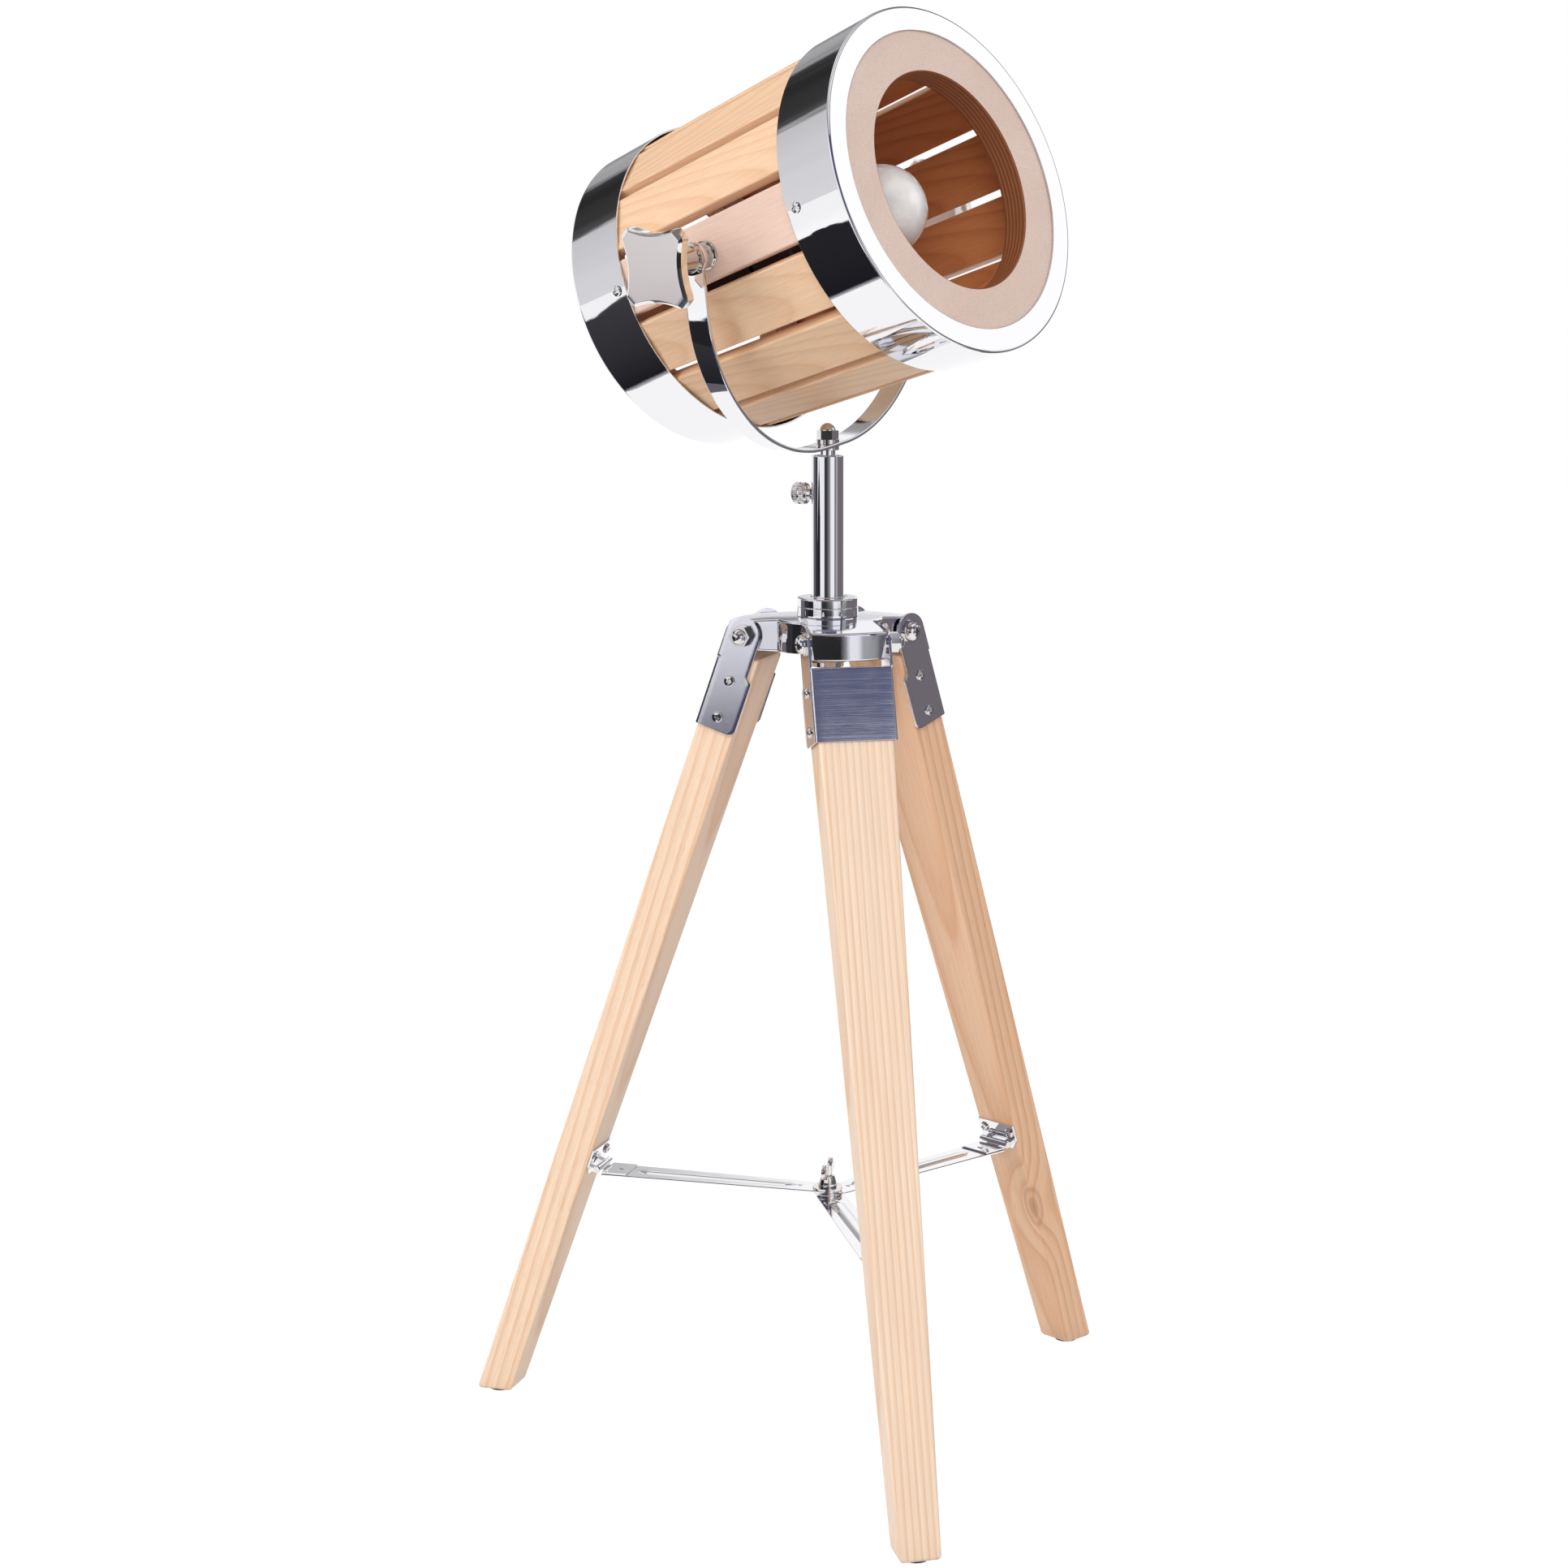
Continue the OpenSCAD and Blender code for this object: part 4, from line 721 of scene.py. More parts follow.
def slatBoard(angle, rng):
    # One flat board on the barrel: a rounded rectangle swept from back to front, as wide as the chord there.
    g = slatPlan
    half = rad(headPlan["span"]/2)
    thick = headPlan["slatT"]
    stations = np.concatenate([[g["from"], g["from"] + g["end"]], np.linspace(-118, 122, 9),
                               [g["to"] - g["end"], g["to"]]])
    inset = np.zeros(len(stations))
    inset[[0, -1]] = g["chamfer"]
    rings = []
    for s, less in zip(stations, inset):
        out, wide = slatR(s)*math.cos(half), slatR(s)*math.sin(half)
        outline = softened([[out - less, wide - less], [out - thick + less, wide - less],
                            [out - thick + less, -wide + less], [out - less, -wide + less]], g["edge"], 4)
        rings.append(np.column_stack([outline, np.full(len(outline), s)]))
    rings = np.array(rings)
    c, s = math.cos(rad(angle)), math.sin(rad(angle))
    turned = [rings[..., 0]*c - rings[..., 1]*s, rings[..., 0]*s + rings[..., 1]*c, rings[..., 2]]
    points, faces = lofted(np.stack(turned, -1))
    grain = np.stack([rings[..., 2], rings[..., 1], rings[..., 0] - 110], -1).reshape(-1, 3)*mm
    grain = grain + rng.uniform(-3, 3, 3)*np.array([1, 0.01, 0.004])          # each board from another log
    flat = rings.reshape(-1, 3)
    # Faces on the board's inner side; they take the darker inside wood with its painted shade.
    hidden = slatR(flat[:, 2])*math.cos(half) - flat[:, 0] > thick - 0.4
    return barrelPlace(points), faces, grain, np.array([hidden[list(f)].all() for f in faces])


def makeSlats():
    rng = np.random.default_rng(41)
    count, pivots = headPlan["slatCount"], headPlan["pivotSlats"]
    boards = [slatBoard(a, rng) for a in headPlan["rise"] + headPlan["pitch"]*np.arange(count)]
    kinds = {
        "slatBoards": ([b for k, b in enumerate(boards) if k not in pivots], slatPine, "slats", "pine"),
        "pivotBoards": ([boards[k] for k in pivots], slatBlush, "pivot_slats", "plywood"),
    }
    for name, (some, wood, node, slot) in kinds.items():
        points, faces, grain = joinParts(some)
        # The inner faces get the second material: the pine darkened with painted shade.
        inside = np.concatenate([board[3] for board in some])
        makePiece(name, points, faces, [wood, slatInsidePaintedShade], "head", node, slot, grain, faceMaterial=inside)


def profileMiddles(profile, count):
    # The middle (r, z) of the profile's edge that each of a spun piece's faces stands on.
    column = np.arange(count) % len(profile)
    return (profile[column] + profile[(column + 1) % len(profile)])/2


hoopPlan = {"w": 47.3, "t": 1.2, "lip": {"front": 100.0, "back": 89.0}, "gap": 0.1, "steps": 224}


def makeHoops():
    # Rolled chrome bands: a thin cone over the slat ends with a lip turned in.
    g = hoopPlan
    for end, side in (("front", 1), ("back", -1)):
        s = side*headPlan[end + "S"]
        inner = s - side*g["w"]
        lip, lipBack = g["lip"][end], s - side*(g["t"] - g["gap"])
        corners = [[slatR(inner) + g["gap"], inner], [slatR(inner) + g["t"], inner], [slatR(s) + g["t"], s],
                   [lip, s], [lip, lipBack], [slatR(s) + g["gap"], lipBack]]
        profile = softened(corners, [0.3, 0.3, 1.6, 0.4, 0.4, 0.5], 5)
        points, faces = spun(profile, g["steps"], barrelPlace)
        mid = profileMiddles(profile, len(faces))
        onLip = (mid[:, 0] < slatR(s) - 1.2) & (np.abs(mid[:, 1] - s) < 0.2)
        makePiece(end + "Hoop", points, faces, [chrome, mirrorLip], "head", end + "_band", "chrome",
                  smooth=30, faceMaterial=onLip)


ringPlan = {"front": (108.0, 125.9), "back": (-122.3, -104.4), "holeR": 72.8, "gap": 0.15, "steps": 224}


def makeRings():
    # Plywood rings inside the ends of the barrel.
    g = ringPlan
    half = rad(headPlan["span"]/2)
    for end in ("front", "back"):
        s1, s2 = g[end]
        inner = [slatR(s)*math.cos(half) - headPlan["slatT"] - g["gap"] for s in (s1, s2)]
        corners = [[g["holeR"], s1], [inner[0], s1], [inner[1], s2], [g["holeR"], s2]]
        profile = softened(corners, [0.6, 0.8, 0.8, 0.6], 4)
        points, faces = spun(profile, g["steps"], barrelPlace)
        mid = profileMiddles(profile, len(faces))
        onEdge = (mid[:, 0] < g["holeR"] + 0.5) | (mid[:, 0] > min(inner) - 0.8)
        makePiece(end + "PlyRing", points, faces, [ringVeneer, plyEdge], "head", end + "_ring", "plywood",
                  carried(profile, g["steps"], None)*mm, faceMaterial=onEdge)


lampPlan = {"bulbS": 64.6, "bulbR": 30.0, "bulbFoot": -15.4, "neckR": 12.6, "neckIn": 25.2, "neckFrom": -46,
            "holderFront": 11.1, "holderFoot": -44.9, "barTop": -92.3, "barT": 12.0, "barHalfW": 20.0}


def makeBulb():
    # A globe's arc that runs into its neck along a cubic curve, turned about the barrel's axis.
    g = lampPlan
    a = np.linspace(rad(g["neckFrom"]), rad(90), 34)
    globe = np.column_stack([g["bulbR"]*np.cos(a), g["bulbS"] + g["bulbR"]*np.sin(a)])
    foot = g["bulbFoot"] + g["neckIn"]
    start, end = np.array([g["neckR"], foot]), globe[0]
    side1 = np.array([g["neckR"] + 0.8, foot + 10.0])
    side2 = end - 12*np.array([math.sin(-a[0]), math.cos(a[0])])
    u = np.linspace(0, 1, 16)[:-1, None]
    neck = (1 - u)**3*start + 3*u*(1 - u)**2*side1 + 3*u**2*(1 - u)*side2 + u**3*end
    profile = np.concatenate([[[0, foot]], neck, globe[:-1], [[0, g["bulbS"] + g["bulbR"]]]])
    points, faces = solidSpun(profile, 96, barrelPlace)
    makePiece("opalBulb", points, faces, opalGlass, "head", "bulb_globe", "opal_glass", smooth=60)


def makeSocket():
    # The lampholder with ribs round its body, and the cup under it.
    foot, front, seat = lampPlan["holderFoot"], lampPlan["holderFront"], lampPlan["bulbFoot"] - 3.9
    shell = [[5, foot], [15, foot], [19, foot + 5], [19, front - 22], [23, front - 20], [23, front - 15],
             [20, front - 13], [19, front], [13.4, front], [13.4, seat], [5, seat]]

    def ribs(a, r, z):
        return 0.35*np.cos(40*a)*((r > 18.5) & (z < front - 24) & (z > foot + 6))

    points, faces = spun(softened(shell, 0.8, 4), 160, barrelPlace, ribs)
    makePiece("socketShell", points, faces, blackPlastic, "head", "lampholder", "black_plastic", smooth=50)
    low = lampPlan["barTop"] + 0.1
    cup = [[15.5, low], [20.5, low], [20.5, low + 4], [18.5, low + 5.5], [18.5, foot - 1.6],
           [17.4, foot - 0.2], [15.5, foot - 0.2]]
    points, faces = spun(softened(cup, 0.6, 4), 96, barrelPlace)
    makePiece("socketCup", points, faces, blackPlastic, "head", "holder_cup", "black_plastic", smooth=50)


def makeLampBar():
    # The bar across the barrel, as long as the chord between the slats at its depth.
    g = lampPlan
    s1, s2, w, ease = g["barTop"] - g["barT"], g["barTop"], g["barHalfW"], 0.8
    half = math.sqrt((slatR(s1)*math.cos(rad(10)) - 9.05)**2 - w**2) - 1
    rings = []
    for x, less in ((-half, ease), (-half + ease, 0), (0, 0), (half - ease, 0), (half, ease)):
        outline = softened(rectangle(-w, w, s1, s2, less), 1.2, 4)
        rings.append(np.column_stack([np.full(len(outline), x), outline]))
    points, faces = lofted(rings)
    grain = points*mm + 0.4
    makePiece("lampCrossBar", barrelPlace(points), faces, barPine, "head", "lamp_bar", "pine", grain)


spoolPlan = {"steps": 72, "ease": 0.5,
             "shape": [[4.1, 107.0], [9.6, 107.0], [9.6, 109.2], [8.2, 110.2], [7.6, 112.6], [8.2, 115.0],
                       [9.4, 115.8], [9.4, 119.7], [4.1, 119.7]]}


def makePivotSpools():
    # Turned spacers between the pivot slats and the yoke's ears: a waisted spool on each side.
    profile = softened(spoolPlan["shape"], spoolPlan["ease"], 4)
    places = [axisPlace(pivot, barrelUp, barrelAxis*side, yokeX*side) for side in (1, -1)]
    points, faces, _ = joinParts([spun(profile, spoolPlan["steps"], place) for place in places])
    makePiece("pivotSpools", points, faces, hubMetalPaintedShade, "head", "pivot_spacers", "chrome", smooth=45)


makeSlats()
makeHoops()
makeRings()
makeBulb()
makeSocket()
makeLampBar()
makePivotSpools()
print("head made")

knobPlan = {"w": 50.0, "clip": 5.0, "sag": 2.9, "t": 8.6, "hub": 30.0, "from": 122.4, "turn": 20.0,
            "studFrom": 90.3, "studR": 4.0}


def knobOutline(inset):
    # A square with clipped corners and four hollow sides: each side is an arc of a large circle.
    w, clip, sag = knobPlan["w"]/2 - inset, knobPlan["clip"], knobPlan["sag"]
    y = np.linspace(clip - w, w - clip, 17)
    big = knobPlan["w"]*1.05 + inset
    side = np.column_stack([np.minimum(w, w - sag + big - np.sqrt(big**2 - y**2)), y])
    turns = [(math.cos(a), math.sin(a)) for a in np.arange(4)*math.pi/2]
    return np.concatenate([side @ np.array([[c, s], [-s, c]]) for c, s in turns])


def makeKnobs():
    # Cast knobs: a plate with hollow sides and a flat polished bevel, on a turned hub with a stud.
    g = knobPlan
    low, near = g["from"], g["from"] + g["hub"]
    levels = [(0.9, 0.0), (0.0, 0.9), (0.0, g["t"] - 1.8), (0.25, g["t"] - 1.6), (1.9, g["t"] - 0.15),
              (2.2, g["t"])]
    hub = np.array([[0, low], [10.6, low], [10.6, low + 2], [9, low + 2.6], [8.4, low + 8], [8.4, near - 8],
                    [9.4, near - 2], [11, near + 0.5], [0, near + 0.5]])
    stud = np.array([[0, g["studFrom"]], [g["studR"] - 0.6, g["studFrom"]], [g["studR"], g["studFrom"] + 0.7],
                     [g["studR"], low + 1], [0, low + 1]])
    rings = []
    for inset, z in levels:
        outline = knobOutline(inset)
        rings.append(np.column_stack([outline, np.full(len(outline), near + z)]))
    plate, plateFaces = lofted(rings)
    c, s = math.cos(rad(g["turn"])), math.sin(rad(g["turn"]))
    for name, node, side in (("knobNear", "knob_near", -1), ("knobFar", "knob_far", 1)):
        place = axisPlace(pivot, barrelUp*c + barrelAxis*s, (barrelAxis*c - barrelUp*s)*side, yokeX*side)
        parts = [(place(plate), plateFaces), solidSpun(hub, 64, place), solidSpun(stud, 40, place)]
        points, faces, _ = joinParts(parts)
        which = np.zeros(len(faces), int)
        which[:len(plateFaces) - 1] = 1
        which[len(plateFaces):] = 2
        makePiece(name, points, faces, [knobMetal, knobEdge, hubMetalPaintedShade], node, node, "knob_metal", smooth=20,
                  faceMaterial=which)


makeKnobs()
print("knobs made")

yokePlan = {"halfW": 122.3, "cornerR": 112.8, "h": 147.5, "t": 2.5, "w": 17.0, "earR": 11.0, "ease": 0.45}


def makeYoke():
    # A flat strap carried along a U: straight arms, quarter arcs, a short flat foot, ears rounded about the
    # pivots. The section is a rounded rectangle, as wide as the ear's chord near the ends.
    g = yokePlan
    mid = g["halfW"] - g["cornerR"]
    r = g["cornerR"] - g["t"]/2
    up = g["h"] + g["earR"] - np.concatenate([0.05 + 2.2*np.linspace(0, 1, 6)**2, np.linspace(3.2, 19, 14)])
    z = np.concatenate([up, np.linspace(up[-1] - 4, g["cornerR"] + 0.5, 5)])
    arm = np.column_stack([np.full(len(z), g["halfW"] - g["t"]/2), z])
    half = np.where(z > g["h"] - 6.98, np.sqrt(np.maximum(g["earR"]**2 - (z - g["h"])**2, 0.2)), g["w"]/2)
    half = np.where(z < g["h"], np.maximum(half, g["w"]/2), half)
    a = np.linspace(0, math.pi/2, 40)
    arc = np.column_stack([mid + r*np.cos(a), g["cornerR"] - r*np.sin(a)])
    path = np.concatenate([arm, arc])
    width = np.concatenate([half, np.full(len(arc), g["w"]/2)])
    path = np.concatenate([path, path[::-1]*np.array([-1, 1])])
    width = np.concatenate([width, width[::-1]])
    ahead = np.gradient(path, axis=0)
    ahead /= np.linalg.norm(ahead, axis=1, keepdims=True)
    side = np.column_stack([-ahead[:, 1], ahead[:, 0]])
    t, e = g["t"]/2, g["ease"]
    rings = []
    for p, n, w in zip(path, side, width):
        hold = min(0.3, 0.3*(w - e))
        corner = np.array([[t, w - e - hold], [t, w - e], [t - 0.3*e, w - 0.3*e], [t - e, w]])
        left = corner[::-1]*np.array([-1, 1])
        local = np.concatenate([corner, left, -corner, -left])
        xz = p[None, :] + local[:, :1]*n[None, :]
        rings.append(np.column_stack([xz[:, 0], local[:, 1], xz[:, 1]]))
    points, faces = lofted(rings)
    makePiece("yokeStrap", yokePlace(points), faces, chrome, "yoke", "yoke", "chrome", smooth=28)


stemPlan = {
    "top": 692.6, "foot": 547.6, "r": 11.1, "wall": 1.3, "steps": 128, "collarZ": 582.82,
    "collar": [[11.2, 0.5], [18.2, 0.5], [19.2, 0.1], [21.2, 0.1], [21.0, 1.2], [21.0, 6.1], [20.75, 6.4],
               [21.0, 6.7], [21.0, 12.9], [13.1, 13], [12.5, 11.8], [11.2, 11.8]],
    "collarEase": [0.2, 0.2, 0.2, 0.3, 0.3, 0.15, 0.12, 0.15, 1.4, 0.5, 0.3, 0.2],
}


def makeStem():
    # The tube and the collar at its foot, both turned about the stem axis.
    g = stemPlan
    inner = g["r"] - g["wall"]
    tube = softened([[inner, g["foot"]], [g["r"], g["foot"]], [g["r"], g["top"]], [inner, g["top"]]],
                    [0.3, 0.3, 0.5, 0.4], 4)
    collar = softened(np.array(g["collar"]) + [0, g["collarZ"]], g["collarEase"], 5)
    for name, node, profile in (("stemTubeShell", "stem_tube", tube), ("stemCollar", "collar", collar)):
        points, faces = spun(profile, g["steps"], rowPlace)
        makePiece(name, points, faces, chrome, "hub", node, "chrome", smooth=35)


screwPlan = {"turn": 102, "z": 666.0, "head": 16.1, "ripple": 0.1, "teeth": 40, "steps": 216}


def makeThumbScrew():
    # A knurled head with a groove, on a neck: the radius ripples with the angle on the head's rim.
    g = screwPlan
    a, x = rad(g["turn"]), g["head"]
    place = axisPlace(g["z"]*upward, [-math.sin(a), math.cos(a), 0], upward, [math.cos(a), math.sin(a), 0])
    shape = np.array([[0, 9.85], [2.5, 9.85], [2.5, 11.7], [4.4, 11.7], [4.4, 15.2], [5.6, x], [7.0, x],
                      [7.5, x + 0.5], [7.5, x + 2.8], [6.6, x + 3.2], [6.6, x + 4.2], [7.5, x + 4.6],
                      [7.5, x + 7.6], [6.9, x + 8.5], [0, x + 8.5]])

    def knurl(angle, r, z):
        return g["ripple"]*np.cos(g["teeth"]*angle)*(r > 7.2)

    points, faces = solidSpun(shape, g["steps"], place, knurl)
    makePiece("thumbScrewHead", points, faces, nickel, "thumb_screw", "thumb_screw", "nickel", smooth=40)


makeYoke()
makeStem()
makeThumbScrew()
print("yoke and stem made")

hubPlan = {"foot": 559.6, "top": 583.2, "rise": 4.8, "endR": 68.0, "midR": 38.0, "halfW": 25.5, "wall": 5.0,
           "cavityTop": 573.4, "cavityR": 43.4, "bossR": 21.2, "boreR": 11.2, "edge": 1.6}


def makeHub():
    # The casting as rings about the stem axis. Its outline in a direction is the larger of the middle disc
    # and the arm there, drawn in by an inset; the top falls with the square of the radius.
    g = hubPlan
    dirs = np.array(list(legPlan["dirs"].values()))
    corner = math.degrees(math.asin(g["halfW"]/g["endR"]))
    meet = math.degrees(math.asin(g["halfW"]/g["midR"]))
    marks = []
    for d in dirs:                                     # closer angles where the outline turns
        marks += [np.linspace(d - 60, d - meet - 1.5, 14), np.linspace(d - meet - 1, d - corner - 0.3, 22),
                  np.linspace(d - corner, d + corner, 26), np.linspace(d + corner + 0.3, d + meet + 1, 22),
                  np.linspace(d + meet + 1.5, d + 60 - 8, 13)]
    a = np.unique(np.round(np.mod(np.concatenate(marks), 360), 4))
    off = np.radians(np.abs((a[:, None] - dirs[None, :] + 180) % 360 - 180).min(1))

    def outline(inset):
        arm = np.minimum(g["endR"] - inset, (g["halfW"] - inset)/np.maximum(np.sin(off), 1e-6))
        return np.maximum(arm, g["midR"] - inset)

    def dome(r):
        return g["top"] - g["rise"]*(r/g["endR"])**2

    edge, foot = g["edge"], g["foot"]
    rim, out = outline(edge), outline(0)
    levels = [(g["boreR"], dome(g["boreR"]))]
    for f in np.linspace(0.08, 1, 14):
        r = g["boreR"] + (rim - g["boreR"])*f
        levels.append((r, dome(r)))
    for f in (0.25, 0.55, 0.85):
        q = rad(90*f)
        levels.append((outline(edge*(1 - math.sin(q))), dome(rim) - edge*(1 - math.cos(q))))
    cave = np.minimum(g["cavityR"], outline(g["wall"]))
    levels += [(out, dome(rim) - edge), (out, dome(rim) - edge - 0.4), (out, foot + 1.4), (out, foot + 1.0),
               (outline(0.4), foot + 0.3), (outline(1.1), foot), (outline(1.5), foot), (cave, foot),
               (cave, g["cavityTop"]), (g["bossR"], g["cavityTop"]), (g["bossR"], foot), (g["boreR"], foot)]
    turn = np.radians(a)
    rings = [np.stack(np.broadcast_arrays(r*np.cos(turn), r*np.sin(turn), z), -1) for r, z in levels]
    points = np.stack(rings, 1)
    faces = gridQuads(len(a), len(levels), closeRows=True, closeCols=True)
    makePiece("hubCasting", points*mm, faces, castChrome, "hub", "hub", "chrome", smooth=34)


makeHub()
print("hub made")


def legLimits(n):
    # How far down the leg its top and foot cuts lie, for a depth n.
    g = legPlan
    s = rad(g["splay"])
    top = g["topL"] + (g["topInL"] - g["topL"])*(g["topOut"] - n)/g["topT"]
    return top, (g["pivotZ"] - g["padH"] + n*math.sin(s))/math.cos(s)


def legRings():
    # Rounded rectangles from the top cut to the foot cut, each a little smaller than the last.
    g = legPlan
    down = np.concatenate([[0, 0.002, 0.004], np.linspace(0.03, 0.97, 24), [0.996, 0.998, 1.0]])
    inset = np.concatenate([[g["chamfer"], 0.35, 0], np.zeros(24), [0, 0.35, g["chamfer"]]])
    topBack, footBack = g["topOut"] - g["topT"], g["footOut"] - g["footT"]
    rings = []
    for f, less in zip(down, inset):
        w = g["topHalfW"] + (g["footHalfW"] - g["topHalfW"])*f
        out = g["topOut"] + (g["footOut"] - g["topOut"])*f
        ring = softened(rectangle(-w, w, topBack + (footBack - topBack)*f, out, less), g["edge"], 5)
        top, foot = legLimits(ring[:, 1])
        rings.append(np.column_stack([ring, top + (foot - top)*f]))
    return rings


def makeLegs():
    # Tapered legs with eased edges, their tops cut on a slant and their feet level, each on a rubber pad.
    g = legPlan
    rng = np.random.default_rng(7)
    points, faces = lofted(legRings())
    padR, padH = g["padD"]/2, g["padH"]
    pad = softened([[1.0, 0], [padR, 0], [padR, padH], [1.0, padH]], [0.1, 0.9, 0.4, 0.1], 4)
    padShape = np.concatenate([[[0, 0]], pad[6:18], [[0, padH]]])  # its two outer corners and poles
    for name, wood in legWoods.items():
        sawn = [2, 1, 0] if name == "front" else [2, 0, 1]        # the front leg shows its rings edge on
        move = rng.uniform(0, 5, 3)*np.array([1, 0.002, 0.002])
        if name == g["knotLeg"]:
            group = next(n for n in wood.node_tree.nodes if n.type == "GROUP")
            group.inputs["Knot"].default_value = tuple(np.array(g["knot"])*mm + move)
            group.inputs["Knot Size"].default_value = g["knotSize"]
        leg = "leg_" + name
        makePiece("legWood_" + name, legPlace(name)(points), faces, wood, leg, leg, "pine",
                  points[:, sawn]*mm + move)
        a = rad(g["dirs"][name])
        padPlace = axisPlace([g["padR"]*math.cos(a), g["padR"]*math.sin(a), 0], *np.eye(3))
        padPoints, padFaces = solidSpun(padShape, 56, padPlace)
        makePiece("footPad_" + name, padPoints, padFaces, rubber, leg, "pad_" + name, "rubber",
                  smooth=40)


bracketPlan = {"halfW": 28.6, "webOut": 12.86, "t": 1.5, "bend": 2.2, "webTop": 19.2, "webFoot": 69.2,
               "step": 27.0, "earR": 12.6, "cheekIn": -16.6, "cornerR": 5.0, "ease": 0.25}


def cheekGrid():
    # One cheek between its inner edge and the bend. Its edges are functions of the distance down the leg:
    # the ear's circle, the step and the rounded corner.
    g = bracketPlan
    corner = g["webFoot"] - g["cornerR"]
    l = np.concatenate([-g["earR"]*np.cos(np.linspace(0.04, math.pi/2, 14)), np.linspace(1.5, 18, 8),
                        [g["webTop"] - 0.01], [g["webTop"]], np.linspace(21, g["step"], 4),
                        [g["step"] + 1.5, g["step"] + 3], np.linspace(32, corner, 8),
                        corner + g["cornerR"]*np.sin(np.linspace(0.2, math.pi/2, 7))])
    ear = np.sqrt(np.maximum(g["earR"]**2 - np.minimum(l, 0)**2, 0.0))
    slant = -ear - (l - g["step"])*(-g["cheekIn"] - g["earR"])/3.0
    low = np.where(l < g["step"], -ear, np.maximum(slant, g["cheekIn"]))
    drop = np.clip(l - corner, 0, g["cornerR"])
    low = low + g["cornerR"] - np.sqrt(g["cornerR"]**2 - drop**2)
    high = np.where(l < g["webTop"] - 0.005, ear, g["webOut"] - g["bend"])
    n = low[:, None] + (high - low)[:, None]*np.linspace(0, 1, 9)[None, :]
    return np.stack(np.broadcast_arrays(g["halfW"], n, l[:, None]), -1)


def webGrid(l):
    # The web across the leg and round its two bends, for the distances l down the leg.
    g = bracketPlan
    q = np.linspace(0, math.pi/2, 6)
    flatW = g["halfW"] - g["bend"]
    bendT, bendN = flatW + g["bend"]*np.cos(q), g["webOut"] - g["bend"] + g["bend"]*np.sin(q)
    across = np.concatenate([bendT, np.linspace(flatW, -flatW, 9)[1:-1], -bendT[::-1]])
    depth = np.concatenate([bendN, np.full(7, g["webOut"]), bendN[::-1]])
    return np.stack(np.broadcast_arrays(across, depth, l[:, None]), -1)


def weldSheet(piece, middle):
    # Joins the grids along the bends and turns their faces away from a point inside the bracket.
    work = bmesh.new()
    work.from_mesh(piece.data)
    bmesh.ops.remove_doubles(work, verts=work.verts, dist=0.00002)
    bmesh.ops.recalc_face_normals(work, faces=work.faces)
    face = max(work.faces, key=lambda f: f.calc_area())
    if face.normal.dot(face.calc_center_median() - type(face.normal)(middle)) < 0:
        bmesh.ops.reverse_faces(work, faces=work.faces)
    work.to_mesh(piece.data)
    work.free()


def makeBrackets():
    # A folded sheet on each leg: two cheeks and the web between them.
    g = bracketPlan
    cheek = cheekGrid()
    l = cheek[:, 0, 2]
    grids = (cheek, cheek*np.array([-1, 1, 1]), webGrid(l[l >= g["webTop"] - 0.005]))
    parts = [(grid, gridQuads(*grid.shape[:2]), grid[..., [0, 2, 1]]*mm) for grid in grids]
    points, faces, grain = joinParts(parts)
    for name in legPlan["dirs"]:
        place = legPlace(name)
        piece = makePiece(f"bracketSheet_{name}", place(points), faces, sheetSteel, f"leg_{name}",
                          f"bracket_{name}", "brushed_steel", grain, smooth=30, outward=False)
        weldSheet(piece, place(np.array([0.0, -2.0, 45.0])))
        asSheet(piece, g["t"], g["ease"])


makeLegs()
makeBrackets()
print("legs and brackets made")

strapPlan = {"z": 169.4, "t": 1.5, "w": 20.0, "hingeW": 27.0, "discR": 10.0, "ribW": 10.0, "ribH": 1.3,
             "ribFrom": 24.0, "leaf": 22.0, "cutR": 8.6, "washer": 1.3, "layer": 0.3, "knuckle": 2.7,
             "pin": {"front": 170.736, "left": 169.623, "right": 170.736}, "ease": 0.2}


def strapLift(name):
    g = strapPlan
    return g["z"] + (g["t"] + g["washer"] + g["layer"] if name == "left" else 0)


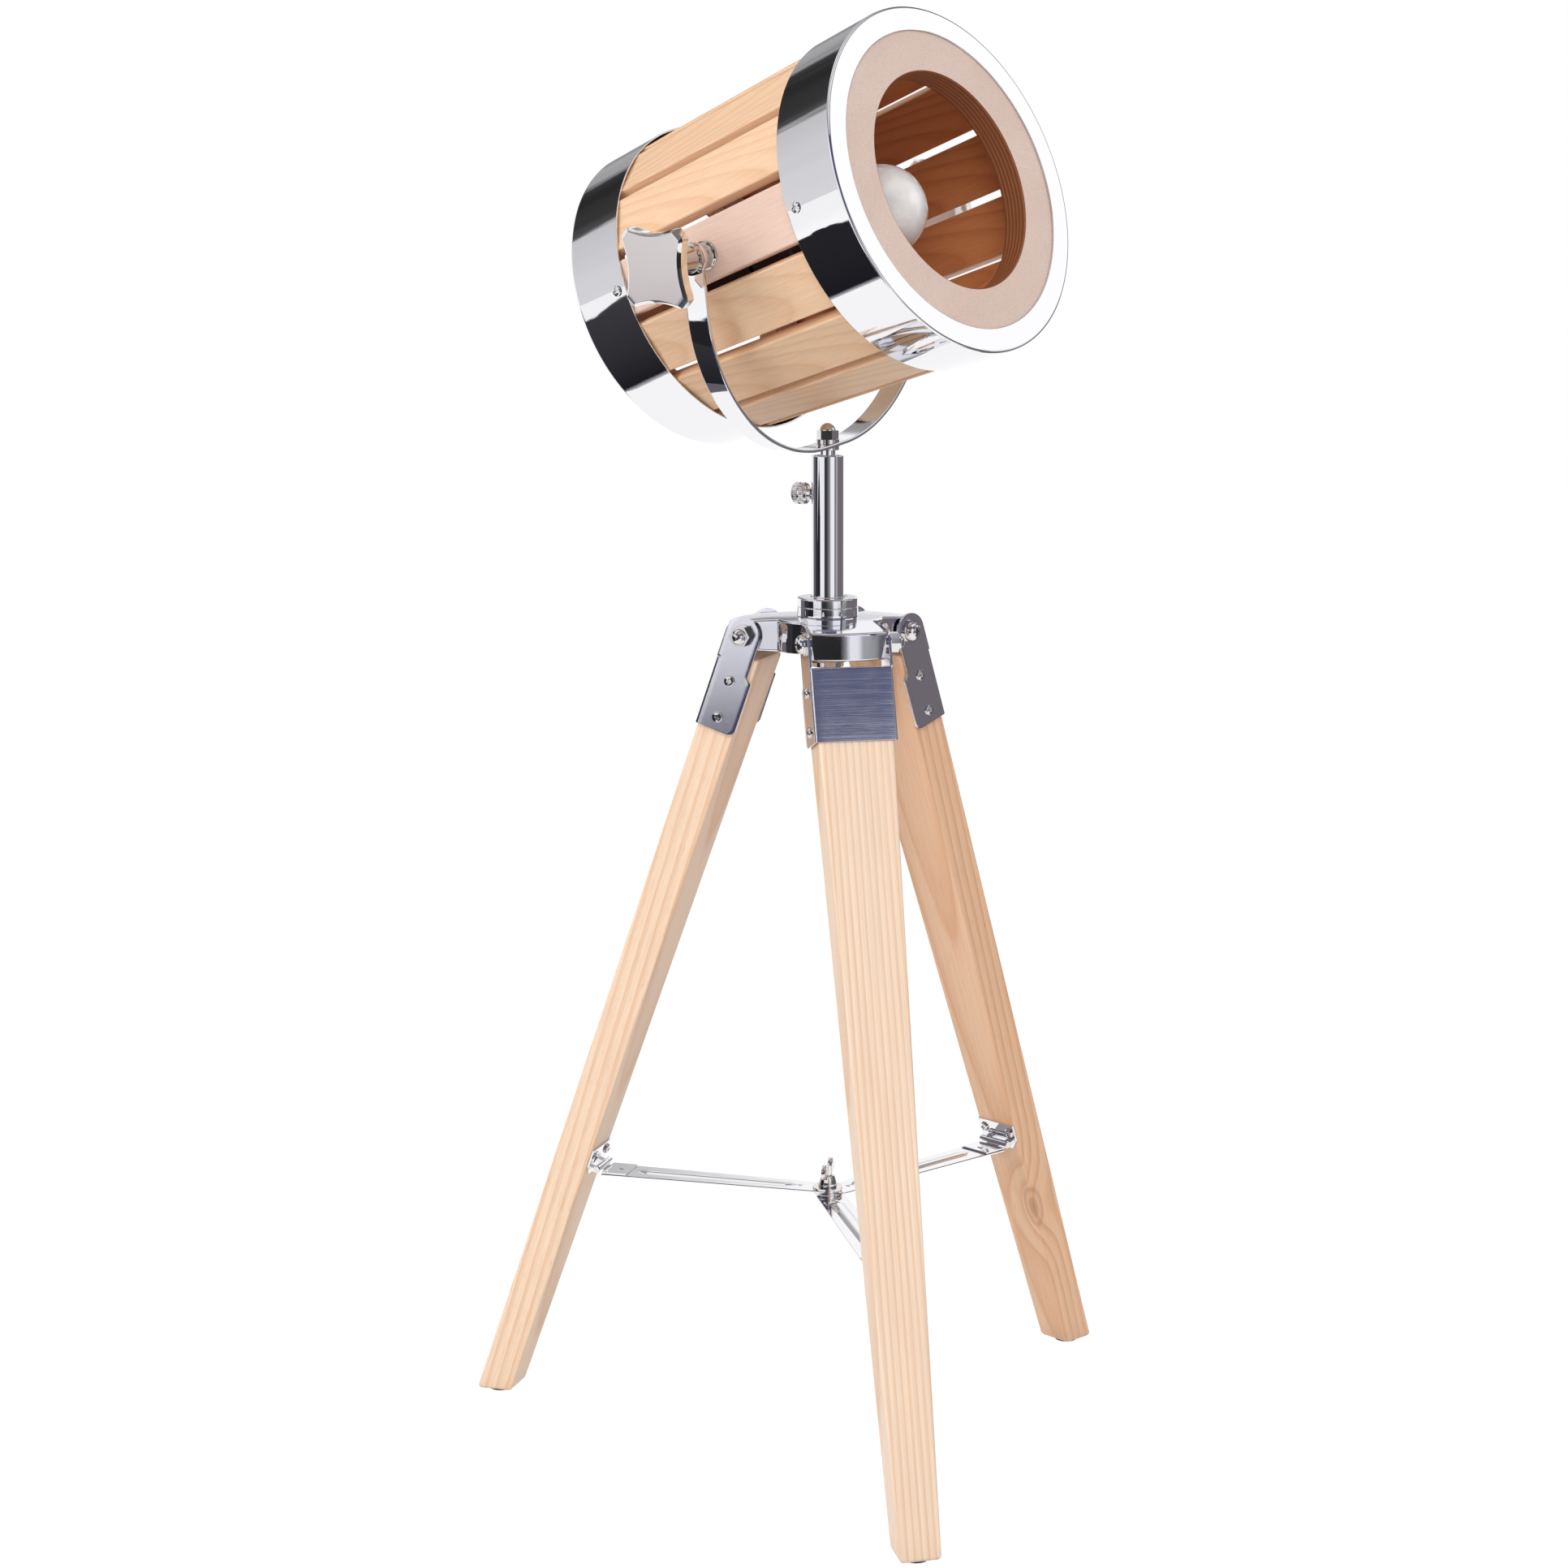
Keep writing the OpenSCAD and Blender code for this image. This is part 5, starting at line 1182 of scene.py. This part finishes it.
def makeStraps():
    # Pressed straps: a grid from the centre to the hinge, as wide as the taper, raised along the middle by a
    # rib whose ends run to points; the inner end is round on the left strap and hollow on the others.
    g = strapPlan
    v = np.linspace(-1, 1, 41)
    u = np.linspace(0, 1, 130)[:, None]
    u = np.where(u < 0.15, u*0.6, 0.09 + (u - 0.15)*0.91/0.85)           # closer rows at the inner end
    half0 = g["w"]/2
    for name, pin in g["pin"].items():
        end = pin - g["knuckle"] - 1
        slope = (g["hingeW"] - g["w"])/2/end
        if name == "left":
            first = -np.sqrt(np.maximum(g["discR"]**2 - (v*half0*0.999)**2, 0))
        else:
            y = v*(half0 + slope*9)
            hollow = np.sqrt(np.maximum(g["cutR"]**2 - y**2, 0))
            first = np.maximum(hollow, (np.abs(y) + 1.1)/math.tan(rad(60)))
        x = first[None, :] + (end - first[None, :])*u
        y = v[None, :]*(half0 + slope*np.maximum(x, 0))
        nose = np.clip(np.minimum(x - g["ribFrom"], pin - g["leaf"] - 6 - x)/7.0, 0, 1)
        wide = np.maximum(g["ribW"]/2*nose, 0.3)
        rib = g["ribH"]*np.sqrt(nose)*np.clip(1 - (y/wide)**2, 0, 1)**0.8
        dimple = np.exp(-((x - (g["ribFrom"] - 3.5))**2 + y**2)/1.6)*0.55
        grid = np.stack([x, y, strapLift(name) + g["t"] + rib + dimple], -1)
        piece = makePiece(f"pressedStrap_{name}", turnedPlace(legPlan["dirs"][name])(grid),
                          gridQuads(*x.shape), strapSteel, f"strap_{name}", f"brace_{name}", "chrome",
                          smooth=40, outward=False)
        if piece.data.polygons[0].normal.z < 0:
            piece.data.flip_normals()
        asSheet(piece, g["t"], g["ease"])


wingPlan = {"turn": 25, "wingR": 5.3, "wingAt": (10, 12.4), "middle": (7.8, 8.6),
            "body": [[3.1, 0], [6.4, 0], [6.6, 0.8], [6.2, 3], [5.4, 6.2], [4.9, 7.6], [4.2, 8], [3.1, 8]],
            "root": [[4.2, 9.6], [3.6, 7.6], [3.3, 1.0], [5.6, 0.9]],
            "levels": ((-1.5, 0.93), (-1.35, 0.98), (-0.9, 1.0), (0.9, 1.0), (1.35, 0.98), (1.5, 0.93))}


def makeWingNut():
    # A turned body with two flat rounded wings that stand up and out.
    g = wingPlan
    place = turnedPlace(g["turn"], strapLift("left") + strapPlan["t"] + strapPlan["washer"] + 0.1)
    a = np.linspace(rad(-128), rad(148), 26)
    tip = np.array(g["wingAt"]) + g["wingR"]*np.column_stack([np.cos(a), np.sin(a)])
    outline = np.concatenate([tip, g["root"]])
    middle = np.array(g["middle"])
    parts = [spun(np.array(g["body"]), 64, place)]
    for side in (1, -1):
        rings = []
        for y, f in g["levels"]:
            p = middle + (outline - middle)*f
            rings.append(np.column_stack([side*p[:, 0], np.full(len(p), y), p[:, 1]]))
        points, faces = lofted(rings)
        parts.append((place(points), faces))
    points, faces, _ = joinParts(parts)
    makePiece("wingNutBody", points, faces, nickel, "wing_nut", "wing_nut", "nickel", smooth=40)


makeStraps()
makeWingNut()
print("spreader made")

# CAD nodes that keep their own shape and only take a finish; a name that ends in _ has one node for each leg.
keptFinish = {
    nickel: ["hub_locknut", "leg_bolts", "leg_nuts", "leg_washers", "screws_", "hinge_pin_", "spreader_bolt",
             "spreader_washers", "yoke_nut", "yoke_washers", "band_screws", "pivot_bushes", "bar_screws",
             "bulb_cap"],
    chrome: ["hinge_plate_", "mast"],
    strapSteel: ["brace_leaf_"],
    brass: ["holder_contact"],
    blackPlastic: ["cord_gland"],
}
for material, names in keptFinish.items():
    for name in names:
        for full in [name + leg for leg in legPlan["dirs"]] if name.endswith("_") else [name]:
            nodes[full].data.materials.clear()
            nodes[full].data.materials.append(material)
print("kept nodes finished")
